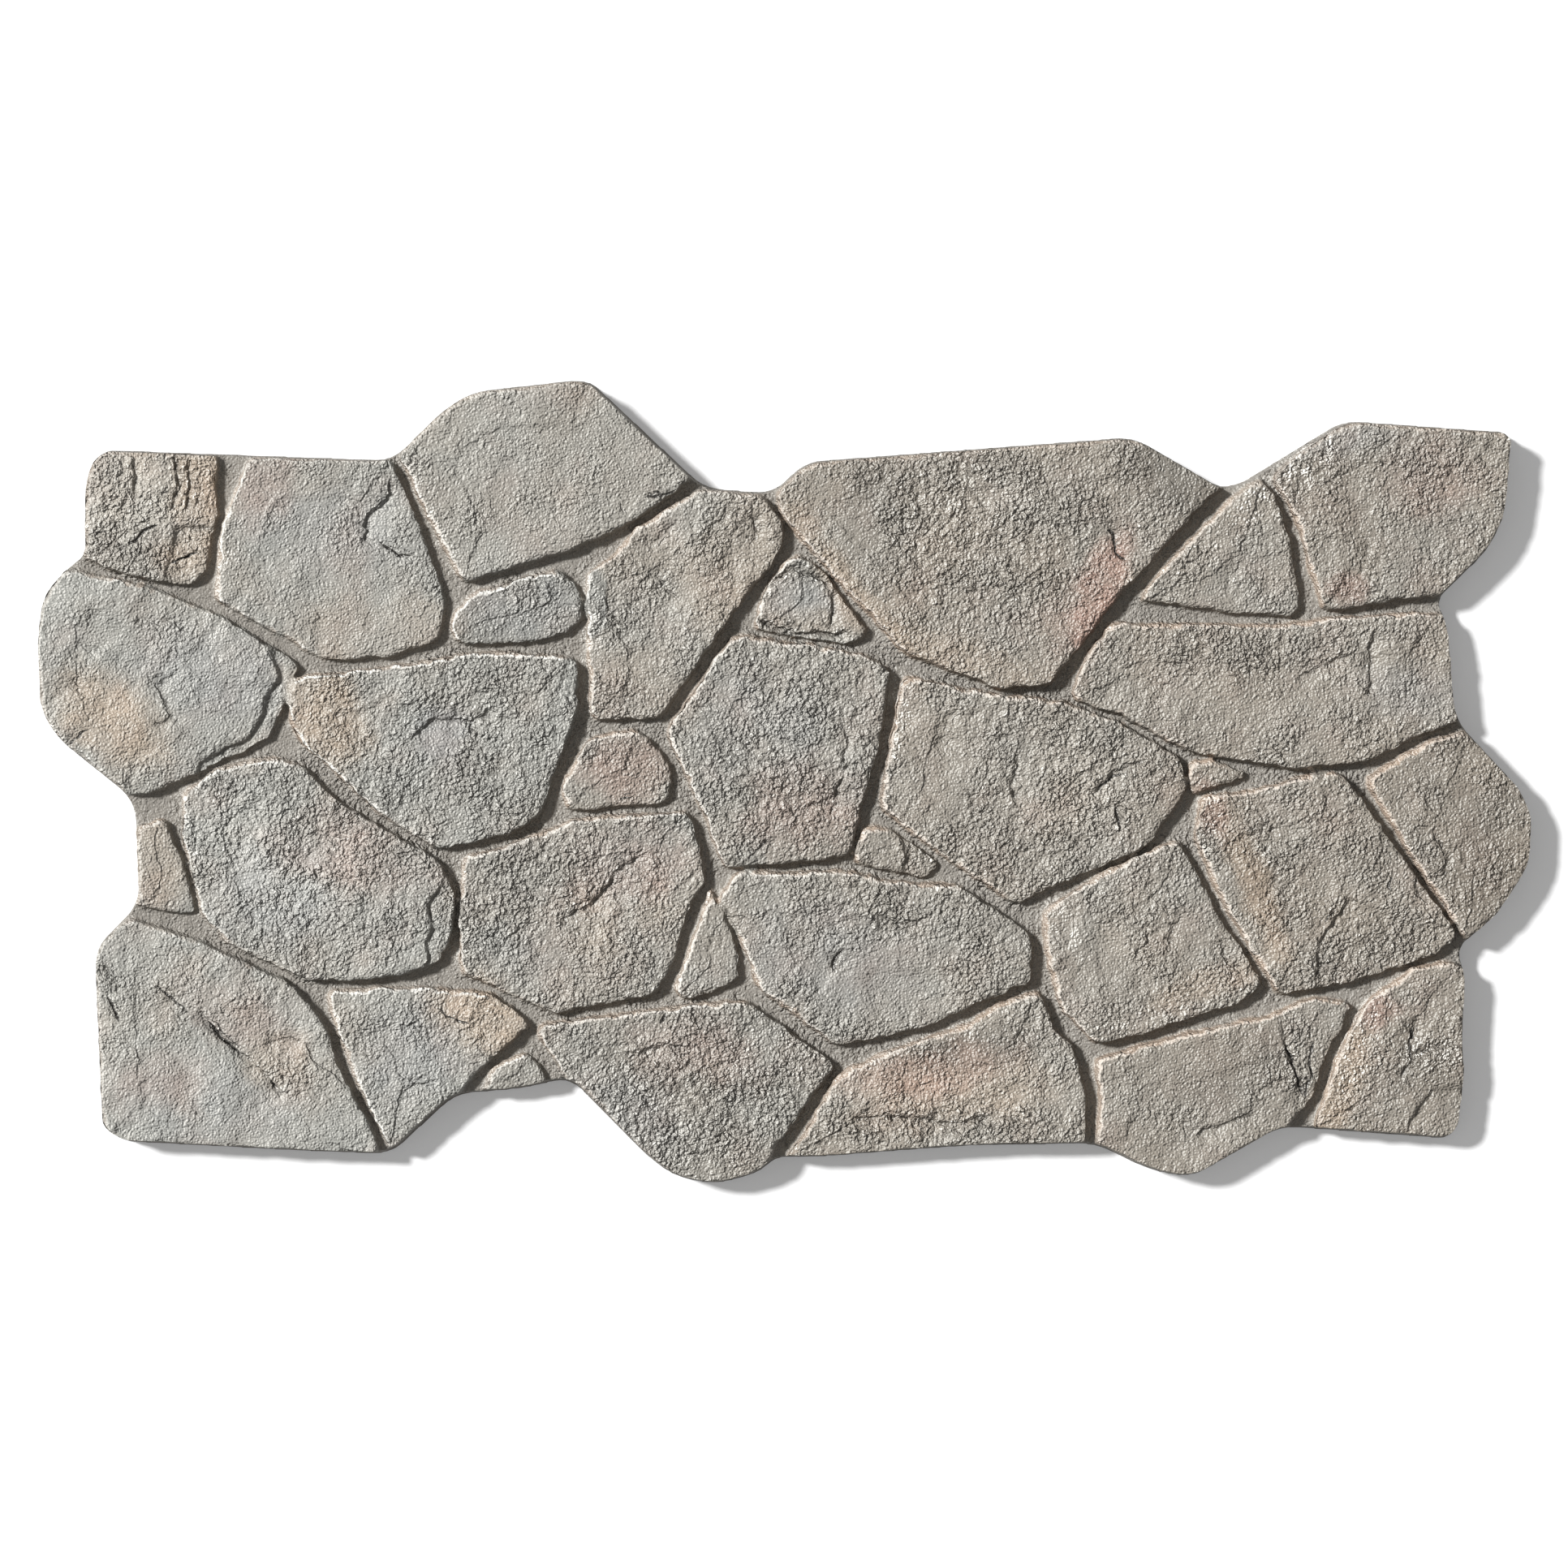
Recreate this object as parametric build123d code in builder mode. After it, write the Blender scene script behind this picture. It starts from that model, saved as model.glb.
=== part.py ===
"""Faux stone wall panel: one moulded board that looks like random rubble laid in mortar.

The board lies on its flat back, face up. Its rim follows the stones, so that neighbouring boards
interlock. A bed at joint level carries 32 stones. Each stone has drafted sides, a bevelled arris and
a face that leans a little, and some have lost a flake. Lengths are in millimetres and angles in
degrees. X runs along the panel, Y up the wall and Z out of the wall.
"""

import math
import os
from collections import namedtuple

from build123d import *

# Driving sizes
COVER_LENGTH = 1000.0  # wall length that one panel covers, from joint to joint
COVER_HEIGHT = 500.0  # wall height that one panel covers
BED_THICKNESS = 18.0  # back face to the bottom of the joints
FULL_RISE = 13.0  # how far the proudest stone stands above the joints
RIM_DRAFT = 4.0  # slope of the outer rim, so that the board leaves its mould
STONE_DRAFT = 6.0  # slope of the stones' sides
ARRIS_BEVEL = 1.3  # width and depth of the bevel between a stone's side and its face
STONE_CORNER_CUT = 6.5  # how far along its two runs a stone's corner is rounded
RIM_CORNER_CUT = 12.0  # the same for a corner of the rim
KEYED_DEPTH = 2.0  # how far a stone is sunk into the bed
TRIMMING = 10.0  # how far the trimming board reaches past the proudest stone
SHORT_RUN_SHARE = 0.45  # a short run gives up to this share of itself to the rounding of each of its ends

# The outlines below are drawn for a covered wall of 1000 by 500, and are stretched to the one above
STRETCH_ALONG = COVER_LENGTH / 1000.0
STRETCH_UP = COVER_HEIGHT / 500.0

# The corners of the rim, clockwise from the notch at the top left
RIM = [
    (-506, 150), (-492, 160.5), (-492.5, 210), (-483, 234.5), (-276, 227), (-241, 262), (-219, 275.5),
    (-146, 283.5), (-135, 281.5), (-56, 207.5), (-8, 204), (15, 226), (246, 243.5), (307, 208),
    (321, 210.5), (394, 255), (507, 247), (512, 240), (507.5, 187), (496, 163.5), (459.5, 128),
    (467, 112), (473, 44), (516, -2), (526, -20), (525, -58), (501, -95), (474, -117), (480, -136),
    (477.5, -182), (479.5, -207), (473, -251.5), (350, -242.5), (287, -278.5), (258, -273.5),
    (219, -254.5), (129, -256), (24, -264), (-5, -264), (-18, -275), (-48, -283.5), (-78, -277.5),
    (-98, -262), (-151, -208), (-185, -216), (-231, -219.5), (-277, -262), (-344, -259.5),
    (-465, -253), (-480, -243), (-485.5, -117), (-454.5, -85), (-457, -20), (-464, -7.5), (-511, 30),
    (-523.5, 50), (-525.5, 105), (-521, 132),
]

Stone = namedtuple("Stone", "rise_share lean foot")

# Each stone: its share of the full rise, how steeply its face climbs along X and along Y in percent, and
# the corners of its foot, clockwise. Where a stone makes the rim, it runs a little past it and is
# trimmed there.
STONES = {
    "top_left_square": Stone(0.73, (1.5, -2.0), [
        (-495, 159), (-495, 238), (-397, 235), (-396.5, 190), (-404, 150), (-413, 137.5), (-448, 141),
        (-475, 149),
    ]),
    "top_left_second": Stone(0.8, (-1.5, 1.0), [
        (-376, 229), (-275, 228), (-257, 188), (-235, 123), (-243, 98), (-275, 87), (-326, 85),
        (-344, 97), (-400, 128), (-395, 183),
    ]),
    "top_crest": Stone(0.96, (0.5, 1.5), [
        (-272, 231), (-242, 265), (-219, 279.5), (-146, 287.5), (-131, 283.5), (-61, 214),
        (-102, 183), (-141, 164), (-226, 138), (-243, 170),
    ]),
    "upper_block": Stone(0.66, (-1.5, -2.0), [
        (-237, 112), (-219, 134.5), (-158, 150.5), (-143, 137), (-139.5, 112), (-155, 103.5),
        (-175, 97), (-230, 96),
    ]),
    "upper_tall": Stone(0.92, (1.0, 1.0), [
        (-136, 43), (-141, 146), (-124, 157), (-105, 178), (-60, 207), (-14, 203), (3, 178),
        (-1, 162), (-34, 119), (-86, 44),
    ]),
    "upper_wedge": Stone(0.7, (2.0, 2.0), [
        (-5, 152), (9, 162), (30, 147), (60, 104), (45, 96), (-24, 106), (-16, 131),
    ]),
    "great_stone": Stone(1.0, (0.5, -1.0), [
        (-8, 203), (13, 230), (247, 248), (312, 209), (292, 192), (236, 130), (187, 68), (150, 64.5),
        (84, 90), (16, 164), (0, 183),
    ]),
    "top_right_wedge": Stone(0.77, (-1.5, 1.5), [
        (317, 204), (334, 215), (344, 203), (354, 178), (362, 135), (361, 115.5), (310, 118),
        (246, 127), (262, 148),
    ]),
    "top_right_corner": Stone(0.96, (1.0, 1.0), [
        (341, 214), (353, 227), (399, 258.5), (513, 250.5), (516.5, 235), (511, 186), (499, 161),
        (464, 130.5), (376, 118.5), (358, 184),
    ]),
    "left_lobe": Stone(0.88, (-1.0, 1.0), [
        (-504, 152), (-443, 138), (-394, 117), (-338, 83), (-360, 30), (-441, -8), (-463, -10),
        (-513, 27), (-526, 48), (-530, 105), (-525, 136),
    ]),
    "left_middle": Stone(0.85, (1.0, 0.5), [
        (-344, 74), (-272, 83), (-205, 93), (-144, 88), (-143, 52), (-171, -24), (-186, -35),
        (-240, -49), (-282, -25), (-344, 32), (-350, 57),
    ]),
    "small_block": Stone(0.66, (-2.0, 1.0), [
        (-138, 33), (-100, 37.5), (-78, 12), (-79, -15), (-152, -21), (-158, -4),
    ]),
    "centre_stone": Stone(0.96, (-1.0, 1.0), [
        (-36, 104), (14, 98.5), (60, 90.5), (76.5, 79), (68.5, 30), (48, -52), (-10, -60), (-41, -61),
        (-62, -14), (-84, 36), (-46, 92),
    ]),
    "right_middle": Stone(0.88, (0.5, 1.5), [
        (82, 76), (140, 64.5), (198, 57), (240, 41), (279, 17), (284, -4), (254, -47), (161, -86.5),
        (105, -49), (66, -18), (73.5, 32),
    ]),
    "right_wide": Stone(0.92, (-0.5, -1.5), [
        (228, 113), (345, 111.5), (385, 117), (470, 120), (478, 44), (440, 29), (412, 14.5), (376, 9),
        (350, 9.5), (284, 20), (238, 45), (200, 59), (211, 89),
    ]),
    "little_wedge": Stone(0.62, (1.5, -2.0), [
        (283, 16), (300, 17), (330, 4), (300, -4.5), (284, -10),
    ]),
    "left_sliver": Stone(0.66, (-2.0, 1.5), [
        (-461, -33), (-434, -23.5), (-421, -53), (-411, -93), (-440, -91), (-461, -84),
    ]),
    "left_lower": Stone(0.92, (1.0, -1.0), [
        (-423, -6), (-397, 11.5), (-360, 19), (-337, 13), (-314, -11), (-239.5, -55), (-229, -84),
        (-232, -108), (-244, -130), (-295, -140.5), (-337, -139), (-388, -114), (-408, -98),
        (-423, -38),
    ]),
    "middle_lower": Stone(0.88, (-1.0, 1.5), [
        (-226, -52), (-200, -45), (-145, -24), (-66, -19.5), (-53, -67), (-70, -98), (-74, -122),
        (-88, -148.5), (-160, -163.5), (-229, -133), (-228, -90),
    ]),
    "spike": Stone(0.62, (2.0, -1.0), [
        (-51, -70), (-31, -118), (-31, -140), (-66, -154), (-79.5, -147.5), (-64, -108),
    ]),
    "bottom_middle": Stone(0.92, (0.5, 1.0), [
        (-47, -80), (-34, -62), (44, -61), (80, -69), (121, -70), (174, -105), (175, -141),
        (134, -157), (95, -174), (36, -186), (-20, -144), (-26, -122),
    ]),
    "split_chip": Stone(0.66, (-2.5, 1.0), [
        (57, -28), (73, -31), (112, -58), (98, -67), (46, -58),
    ]),
    "right_lower": Stone(0.88, (-1.0, -1.5), [
        (181.5, -89), (222, -63), (277, -38), (306, -93), (338, -141), (320, -156), (297, -161),
        (256, -177.5), (218, -184.5), (192, -157), (180.5, -110),
    ]),
    "right_square": Stone(0.96, (1.0, 1.0), [
        (292, -8), (332, -5), (362, 6.5), (391, 8), (440, -59), (474, -108), (455, -122),
        (400, -141), (345, -150), (300, -73), (286.5, -38),
    ]),
    "right_lobe": Stone(0.85, (1.0, -1.0), [
        (405, 3), (446, 27), (481, 39), (520, -2), (530, -20), (529, -60), (504, -98), (480, -115),
        (438, -51),
    ]),
    "bottom_left_corner": Stone(0.96, (-0.5, 1.0), [
        (-459, -93), (-410, -110), (-341, -142), (-320, -172), (-311.5, -200), (-283.5, -250),
        (-284, -265), (-345, -263.5), (-467, -257.5), (-485, -244), (-489.5, -117),
    ]),
    "bottom_left_wedge": Stone(0.77, (1.5, -1.0), [
        (-324, -145), (-262, -142), (-206, -146), (-174, -168.5), (-207.5, -196.5), (-231, -223),
        (-274, -264), (-298, -216), (-311, -184),
    ]),
    "bottom_chip": Stone(0.58, (-1.5, -1.5), [
        (-208, -200), (-182, -187.5), (-165, -207), (-167, -220), (-213, -224),
    ]),
    "bottom_lobe": Stone(0.96, (-0.5, 1.5), [
        (-178, -170), (-76, -155.5), (-25, -152), (38, -198), (-4, -254), (-15, -281), (-48, -288),
        (-80, -282), (-101, -265), (-153, -211),
    ]),
    "bottom_centre": Stone(0.88, (1.0, -1.5), [
        (36, -205), (64, -191), (128, -168), (154, -152), (181, -146), (191, -174), (204, -185),
        (213, -222), (211, -260), (129, -260), (24, -268), (-4, -269), (16, -240),
    ]),
    "bottom_right": Stone(0.96, (-1.0, 1.0), [
        (216, -194), (256, -181.5), (340, -162), (369, -149), (400, -154), (379, -196), (370, -222),
        (351, -246), (287, -283), (256, -278), (217, -257), (221, -220),
    ]),
    "bottom_right_corner": Stone(0.85, (1.5, 1.0), [
        (406, -154), (441, -129), (468, -124), (486, -134), (481.5, -182), (484, -207), (477, -256),
        (369, -247.5), (376, -222), (395, -172),
    ]),
}


Flake = namedtuple("Flake", "fall_share corners")

# Where a flake has broken off a stone: how far the ground falls there, as a share of the full rise, and the
# corners of what is gone. They run past the stone's edge where the flake took some of it.
FLAKES = {
    "top_left_square": Flake(0.19, [
        (-426, 179), (-411, 181), (-388, 179), (-388, 150), (-405, 130), (-436, 132), (-433, 153),
    ]),
    "left_lobe": Flake(0.24, [
        (-361, 95), (-354, 75), (-363, 61), (-365, 48), (-379, 29), (-410, 14), (-418, -8), (-345, 22),
        (-325, 88),
    ]),
    "left_lower": Flake(0.22, [
        (-236, -64), (-250, -87), (-247, -103), (-251, -113), (-250, -125), (-255, -142), (-230, -142),
        (-218, -108), (-220, -70),
    ]),
    "split_chip": Flake(0.19, [(79, -24), (85, -50), (82, -74), (124, -76), (124, -24)]),
    "right_square": Flake(0.16, [
        (370, -152), (374, -111), (382, -100), (396, -80), (428, -94), (482, -106), (458, -134), (400, -156),
    ]),
    "bottom_lobe": Flake(0.24, [
        (33, -202), (18, -221), (8, -242), (-7, -253), (-6, -266), (14, -262), (52, -204), (44, -192),
    ]),
    "bottom_right": Flake(0.14, [
        (344, -156), (349, -180), (352, -193), (358, -206), (356, -220), (362, -240), (388, -226),
        (412, -148), (370, -138),
    ]),
    "bottom_right_corner": Flake(0.12, [(431, -264), (438, -235), (455, -215), (496, -212), (496, -264)]),
}


def on_the_wall(points):
    """The drawn points, stretched to the wall that the panel covers."""
    return [(x * STRETCH_ALONG, y * STRETCH_UP) for x, y in points]


def runs_at_corners(points):
    """Each corner with the run that arrives at it and the run that leaves it."""
    corners = [Vector(*point) for point in points]
    before = corners[-1:] + corners[:-1]
    after = corners[1:] + corners[:1]
    return [(here, here - last, coming - here) for last, here, coming in zip(before, corners, after)]


def inset(points, distance):
    """The clockwise outline with each of its runs moved inwards."""
    moved = []
    for corner, arriving, leaving in runs_at_corners(points):
        arriving, leaving = arriving.normalized(), leaving.normalized()
        inwards = Vector(arriving.Y + leaving.Y, -arriving.X - leaving.X)
        shift = inwards * (distance / (1 + arriving.dot(leaving)))
        moved.append((corner.X + shift.X, corner.Y + shift.Y))
    return moved


def outline(points, corner_cut, plane):
    """A face with the points for its corners. Each is rounded over the cut, or over less on a short run."""
    arcs = []
    for corner, arriving, leaving in runs_at_corners(points):
        cut = min(corner_cut, SHORT_RUN_SHARE * min(arriving.length, leaving.length))
        arc_start, arc_end = corner - arriving.normalized() * cut, corner + leaving.normalized() * cut
        arcs.append(TangentArc(arc_start, arc_end, tangent=arriving, mode=Mode.PRIVATE))
    runs = [Line(last @ 1, arc @ 0, mode=Mode.PRIVATE) for last, arc in zip(arcs[-1:] + arcs[:-1], arcs)]
    with BuildSketch(plane) as drawn:
        with BuildLine():
            add(runs + arcs)
        make_face()
    return drawn.sketch


def board(height):
    """A plain board with the shape of the rim, narrowing from its back to its front by the rim's draft."""
    back = on_the_wall(RIM)
    front = inset(back, height * math.tan(math.radians(RIM_DRAFT)))
    with BuildPart() as plain:
        outline_at_back = outline(back, RIM_CORNER_CUT, Plane.XY)
        outline_at_front = outline(front, RIM_CORNER_CUT, Plane.XY.offset(height))
        loft([outline_at_back, outline_at_front], ruled=True)
    return plain.part


def stone_block(name):
    """One stone: drafted sides from its foot to its shoulder, then a bevel up to its leaning face."""
    stone = STONES[name]
    foot = on_the_wall(stone.foot)
    middle_x = (min(x for x, y in foot) + max(x for x, y in foot)) / 2
    middle_y = (min(y for x, y in foot) + max(y for x, y in foot)) / 2
    rise = stone.rise_share * FULL_RISE
    side_width = (KEYED_DEPTH + rise - ARRIS_BEVEL) * math.tan(math.radians(STONE_DRAFT))
    climb_x, climb_y = (climb / 100 for climb in stone.lean)

    def from_middle(points):
        return [(x - middle_x, y - middle_y) for x, y in points]

    def leaning_plane(height):
        origin = (middle_x, middle_y, height)
        return Plane(origin=origin, x_dir=(1, 0, climb_x), z_dir=(-climb_x, -climb_y, 1))

    foot = from_middle(foot)
    foot_level = Plane(origin=(middle_x, middle_y, BED_THICKNESS - KEYED_DEPTH))
    face_height = BED_THICKNESS + rise
    sections = [
        outline(foot, STONE_CORNER_CUT, foot_level),
        outline(inset(foot, side_width), STONE_CORNER_CUT, leaning_plane(face_height - ARRIS_BEVEL)),
        outline(inset(foot, side_width + ARRIS_BEVEL), STONE_CORNER_CUT, leaning_plane(face_height)),
    ]
    with BuildPart() as block:
        loft(sections, ruled=True)
        if name in FLAKES:
            flake = FLAKES[name]
            with BuildSketch(leaning_plane(face_height - flake.fall_share * FULL_RISE)):
                with BuildLine():
                    Polyline(*from_middle(on_the_wall(flake.corners)), close=True)
                make_face()
            extrude(amount=FULL_RISE, mode=Mode.SUBTRACT)
    return block.part


os.makedirs("parts", exist_ok=True)

with BuildPart() as wall_panel:
    # The bed starts out wider, longer and deeper than the board, and it is all trimmed to the board
    with Locations((0, 0, BED_THICKNESS)):
        Box(2 * COVER_LENGTH, 2 * COVER_HEIGHT, 2 * BED_THICKNESS,
            align=(Align.CENTER, Align.CENTER, Align.MAX))
    add([stone_block(name) for name in STONES])
    add(board(BED_THICKNESS + FULL_RISE + TRIMMING), mode=Mode.INTERSECT)

middle = wall_panel.part.bounding_box().center()
wall_panel.part.move(Location((-middle.X, -middle.Y, 0)))
wall_panel.part.label = "wall_panel"
export_step(wall_panel.part, "parts/wall_panel.step")
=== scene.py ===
"""Looks of the faux stone wall panel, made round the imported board.

The board is remeshed finely, its stones get ragged edges, broken layers, crust, ledges and cracks, and it is
thinned to one closed mesh. Only the grain, thin layers and the sharp lips of ledges, cracks and arrises are
bump. Lengths are in millimetres in the board's own frame: X along the panel, Y up the wall, Z out through the
stones.
"""

import math
from collections import namedtuple

import bmesh
import bpy
import numpy as np
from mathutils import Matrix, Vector


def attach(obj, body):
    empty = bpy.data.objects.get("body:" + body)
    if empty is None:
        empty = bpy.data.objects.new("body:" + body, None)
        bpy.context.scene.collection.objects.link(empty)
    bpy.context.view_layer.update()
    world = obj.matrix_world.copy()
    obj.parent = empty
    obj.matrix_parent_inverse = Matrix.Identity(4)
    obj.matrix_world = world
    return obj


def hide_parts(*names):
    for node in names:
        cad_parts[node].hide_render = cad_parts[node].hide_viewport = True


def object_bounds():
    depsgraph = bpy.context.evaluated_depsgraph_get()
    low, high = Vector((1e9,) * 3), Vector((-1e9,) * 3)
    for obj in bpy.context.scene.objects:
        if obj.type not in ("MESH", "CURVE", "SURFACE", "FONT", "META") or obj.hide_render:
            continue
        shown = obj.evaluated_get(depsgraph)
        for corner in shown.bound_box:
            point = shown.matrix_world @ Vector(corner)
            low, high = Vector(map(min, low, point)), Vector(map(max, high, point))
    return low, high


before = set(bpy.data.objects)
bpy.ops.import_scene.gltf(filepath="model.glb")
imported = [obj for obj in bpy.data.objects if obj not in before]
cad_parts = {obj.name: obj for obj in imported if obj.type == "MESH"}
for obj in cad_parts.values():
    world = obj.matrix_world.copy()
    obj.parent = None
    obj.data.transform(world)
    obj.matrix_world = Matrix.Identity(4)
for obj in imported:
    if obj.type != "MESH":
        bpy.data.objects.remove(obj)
cad_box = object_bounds()

MM = 0.001

# Mesh
WELD = 0.01  # corners nearer than this are joined
VOXEL = 1.2  # cells of the remeshing
MOST_TRIANGLES = 196000
BACK_FACING = -0.95  # a face is on the back if its normal's Z is less than this
BACK_PLAY = 0.4  # and a vertex if it is this near the back's plane
LEVEL_BACK = -0.7  # before the thinning, a vertex is level with it if its normal's Z is less
SHARP_ANGLE = 55.0  # edges sharper than this are drawn as edges, in degrees

# Plan that tells the stones from the joints
CELL = 2.0  # side of its cells
PLAN_MARGIN = 3  # empty cells on each side of the board
LOWEST_PERCENT = 1  # this share of the board lies under the joints' level
STONE_LIFT = 4.0  # a cell this far above the joints belongs to a stone
SAFE_CELLS = 3  # cells this deep in a stone can't touch its neighbour's
STONE_CELLS = 160  # more than from a stone's named point to its far end
EDGE_CELLS = 6  # more than the outer part of a stone is wide
JOINT_CELLS = 12  # more than from the middle of a joint to a stone
DEEPEST = 12  # distances from joints and rim end at this many cells
LEAST_SLOPE = 1e-6  # a flat place counts as this steep
NEXT_CELLS = ((0, 1), (0, -1), (1, 1), (1, -1))  # axis and way of the four cells beside a cell

# Noise: height or strength, size of the lumps, a number of its own, and of how many noises it is made
Noise = namedtuple("Noise", "height size seed octaves", defaults=[3])
LATTICE = 256  # the noise repeats after this many lumps
LATTICE_GAIN = 1.6  # brings one noise to about -1 to 1
LAYERED_SUM = 1.5  # and brings the sum of several back
LUMP_GAIN = 1.6

# Relief of the stones' faces
SWELL = Noise(0.9, 75, 3)  # slow rise and fall
LAYERS = Noise(2.6, 62, 7, 4)  # its height is a number of broken layers
LAYER = 0.9  # height of one of them
LAYER_STRETCH = 1.15
LAYER_LIP = 0.14  # share of a layer that the rise to the next one takes
LARGE_LUMPS = Noise(1.0, 9, 15, 1)
SMALL_LUMPS = Noise(0.7, 5.5, 16, 1)
LUMP_MEAN = 0.8
CRUST = 1.7  # height of the coarse crust that the lumps make
CRUST_DRIFT = Noise(0.9, 34, 11)
CRUST_SHARE = 0.45  # how crusty a stone of middling crust is
CRUST_GAIN = 0.55
OWN_PLACE = 37.0  # each stone reads the noise this much further along than the last
SINKING = 0.7  # how far faces are lowered, as crust and layers stand out
HEADROOM = 0.2  # how far the highest crests stay below the board's own height
SQUEEZE = 1.0  # crests this near it are pressed together, not cut off

# Relief at the stones' edges, in the joints and on the rim
ROUNDING = 0.5
ROUNDING_REACH = 4
BITES = Noise(1.0, 15, 31)  # bits broken out of the arrises
BITE_LEAST = 0.25  # there is a bite where the noise is more than this
BITE_DEPTH = 6.5
BITE_REACH = 7
FOOT, SHOULDER = 2.5, 6.5  # a stone's side is between these heights
TURNS_UP, FACES_UP = 0.15, 0.65  # normal's Z between side and top
STRAY_X = (Noise(1.0, 22, 51, 1), Noise(1.6, 8, 52, 2))  # a joint's edges stray from their line
STRAY_Y = (Noise(1.0, 22, 54, 1), Noise(1.6, 8, 55, 2))
STRAY_START, STRAY_FULL = 5, 14  # from this far inside the rim
BACK_REACH = 8  # nothing strays or wears at the back itself
RIM_WEAR = 1.3  # the most that the rim is worn back
WEAR = Noise(0.5, 16, 57)
WEAR_MEAN = 0.5
WEAR_SLANT = 0.4  # drift of the wear with the height
WEAR_REACH = 12
MORTAR = Noise(1.0, 13, 61)  # unevenness of the joints
MORTAR_GRIT = Noise(0.3, 4, 62, 1)
SIDES = Noise(1.0, 9, 65)  # unevenness of the stones' sides and of the rim
SIDE_LUMPS = 0.55
SIDE_SINKING = 0.6
SIDE_SLANT = 0.8
SIDE_FOOT = 3  # it is whole this far above the back
TURNS_DOWN, UPRIGHT = -0.6, -0.3

# Ledges and cracks
RISER = 0.9  # width of the steep side of a ledge
END_TAPER = 7.0  # a ledge or crack runs out over this length
LINE_REACH = 5.0  # so far aside a ledge or crack is also drawn by the paint
RAGGED_X = (Noise(1.0, 5, 21, 1), Noise(1.7, 15, 22, 1))  # how far they stray from their path
RAGGED_Y = (Noise(1.0, 5, 23, 1), Noise(1.7, 15, 24, 1))

# Masks for the paint
PATCH_EDGE = Noise(0.35, 22, 41)
PATCH_END = 1.45  # a patch ends at this many reaches, and is whole one nearer
WARMTH_DRIFT = Noise(0.25, 60, 71)
TAN_DRIFT = Noise(0.3, 40, 72)
PINK_DRIFT = Noise(0.25, 36, 73)
BLUE_DRIFT = Noise(0.5, 44, 74)
SHADE_DRIFT = Noise(0.10, 26, 75)
CLOUDS = Noise(0.3, 12, 76)  # unevenness of the tan and pink washes
CLOUD_MEAN = 0.7
SMOOTHINGS = 3  # of the mesh, to tell its crests and hollows
CREST = 0.55  # a crest stands this far out of its surroundings
HOLLOW = 0.6
WETTED, DRY = 0.4, 2.2  # the joints' colour ends between these heights
RIM_ARRIS = 0.4  # how strongly the outermost arrises are drawn
RIM_BAND = 8  # width of the outermost band, and of its soft border

# Fine relief, which is bump in the paint
Texture = namedtuple("Texture", "size detail roughness")
FINE = Texture(1.5, 0.0, 0.5)
GRAIN = Texture(2.3, 1.0, 0.5)
FLOW = Texture(30, 3.0, 0.6)  # slow changes over a stone
LINE_WANDER = Texture(6, 2.0, 0.6)  # raggedness of the ledges, cracks and arrises
BRUSH_MARKS = Texture(9, 3.0, 0.7)
PORES = Texture(1.6, 2.0, 0.5)
FINE_HEIGHT = 1.3
GRAIN_HEIGHT = (4.0, 1.1)  # what crust adds, and the height without it
PEBBLE_HEIGHT = (2.4, 0.2)
PEBBLE_SIZE = 4.2
PEBBLE_BLEND = 0.35
LEAST_GRAIN = 0.45  # share of the grain's height on the calmest places
FLOW_GRAIN = 1.0  # and what is added on the roughest
THIN_LAYERS = 6.0  # over the range of the flow
THIN_LAYER = 0.4  # height of one
WANDER = 5.0  # the most that a drawn line wanders, both sides together
CRACK_WANDER = 0.7  # and the share of it for a crack
FLOW_WANDER = 7.0
CRACK_DEPTH = 1.2
SHELF = 1.2  # height of the step at a lit arris
ARRIS_INSIDE = 4.5  # the painted highlight of a lit arris lies this far inside the stone's foot
JOINT_CALM = 0.2  # share of the bump that is missing in the joints

# Ranges over which something fades in, or fades out where the first number is the larger one
Range = namedtuple("Range", "start full")
THIN_LIP = Range(0.78, 0.94)
CALM_TO_ROUGH = Range(0.36, 0.64)
LEDGE_LIP = Range(-0.3, 0.5)
CRACK_LIP = Range(-0.05, -0.45)
LIT = Range(-0.1, 0.35)
SHELF_RISE = Range(3.0, 4.8)
SLOPE_END = Range(4.8, 3.8)
ON_THE_BACK = Range(-0.5, -0.8)
TURNED_AWAY = Range(0.55, 0.05)
IN_A_HOLLOW = Range(0.2, 1.0)
MARKED = Range(0.47, 0.60)
FACES_SUN_FOR_HIGHLIGHT = Range(0.86, 1.0)
ON_A_RIDGE = Range(0.35, 0.6)
ARRIS_WIDTH = Range(1.1, 0.4)
ARRIS_BREAKS = Range(0.34, 0.50)
PORE_WALLS = Range(0.38, 0.52)

# Strength of the paint's layers
BLUE_SHARE = 0.55
SLOPE_WARMTH, SLOPE_SHARE = 0.5, 0.4
# Strength of the painted shade on what faces away from the sun, in the cracks and in the hollows
PAINTED_SHADE_AWAY, PAINTED_SHADE_IN_CRACKS, PAINTED_SHADE_IN_HOLLOWS = 0.4, 0.9, 0.5
CHALK_REACH = 0.14  # a brush mark takes the chalk and painted highlight this much further round a grain
CHALK_MARKED, CHALK_PLAIN = 0.5, 0.5
RIDGE_GRAIN = 0.9
JOINT_CHALK = 0.5  # share of the chalk that is missing in the joints
ROUGHNESS = 0.86
SHINE = 0.25

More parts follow.
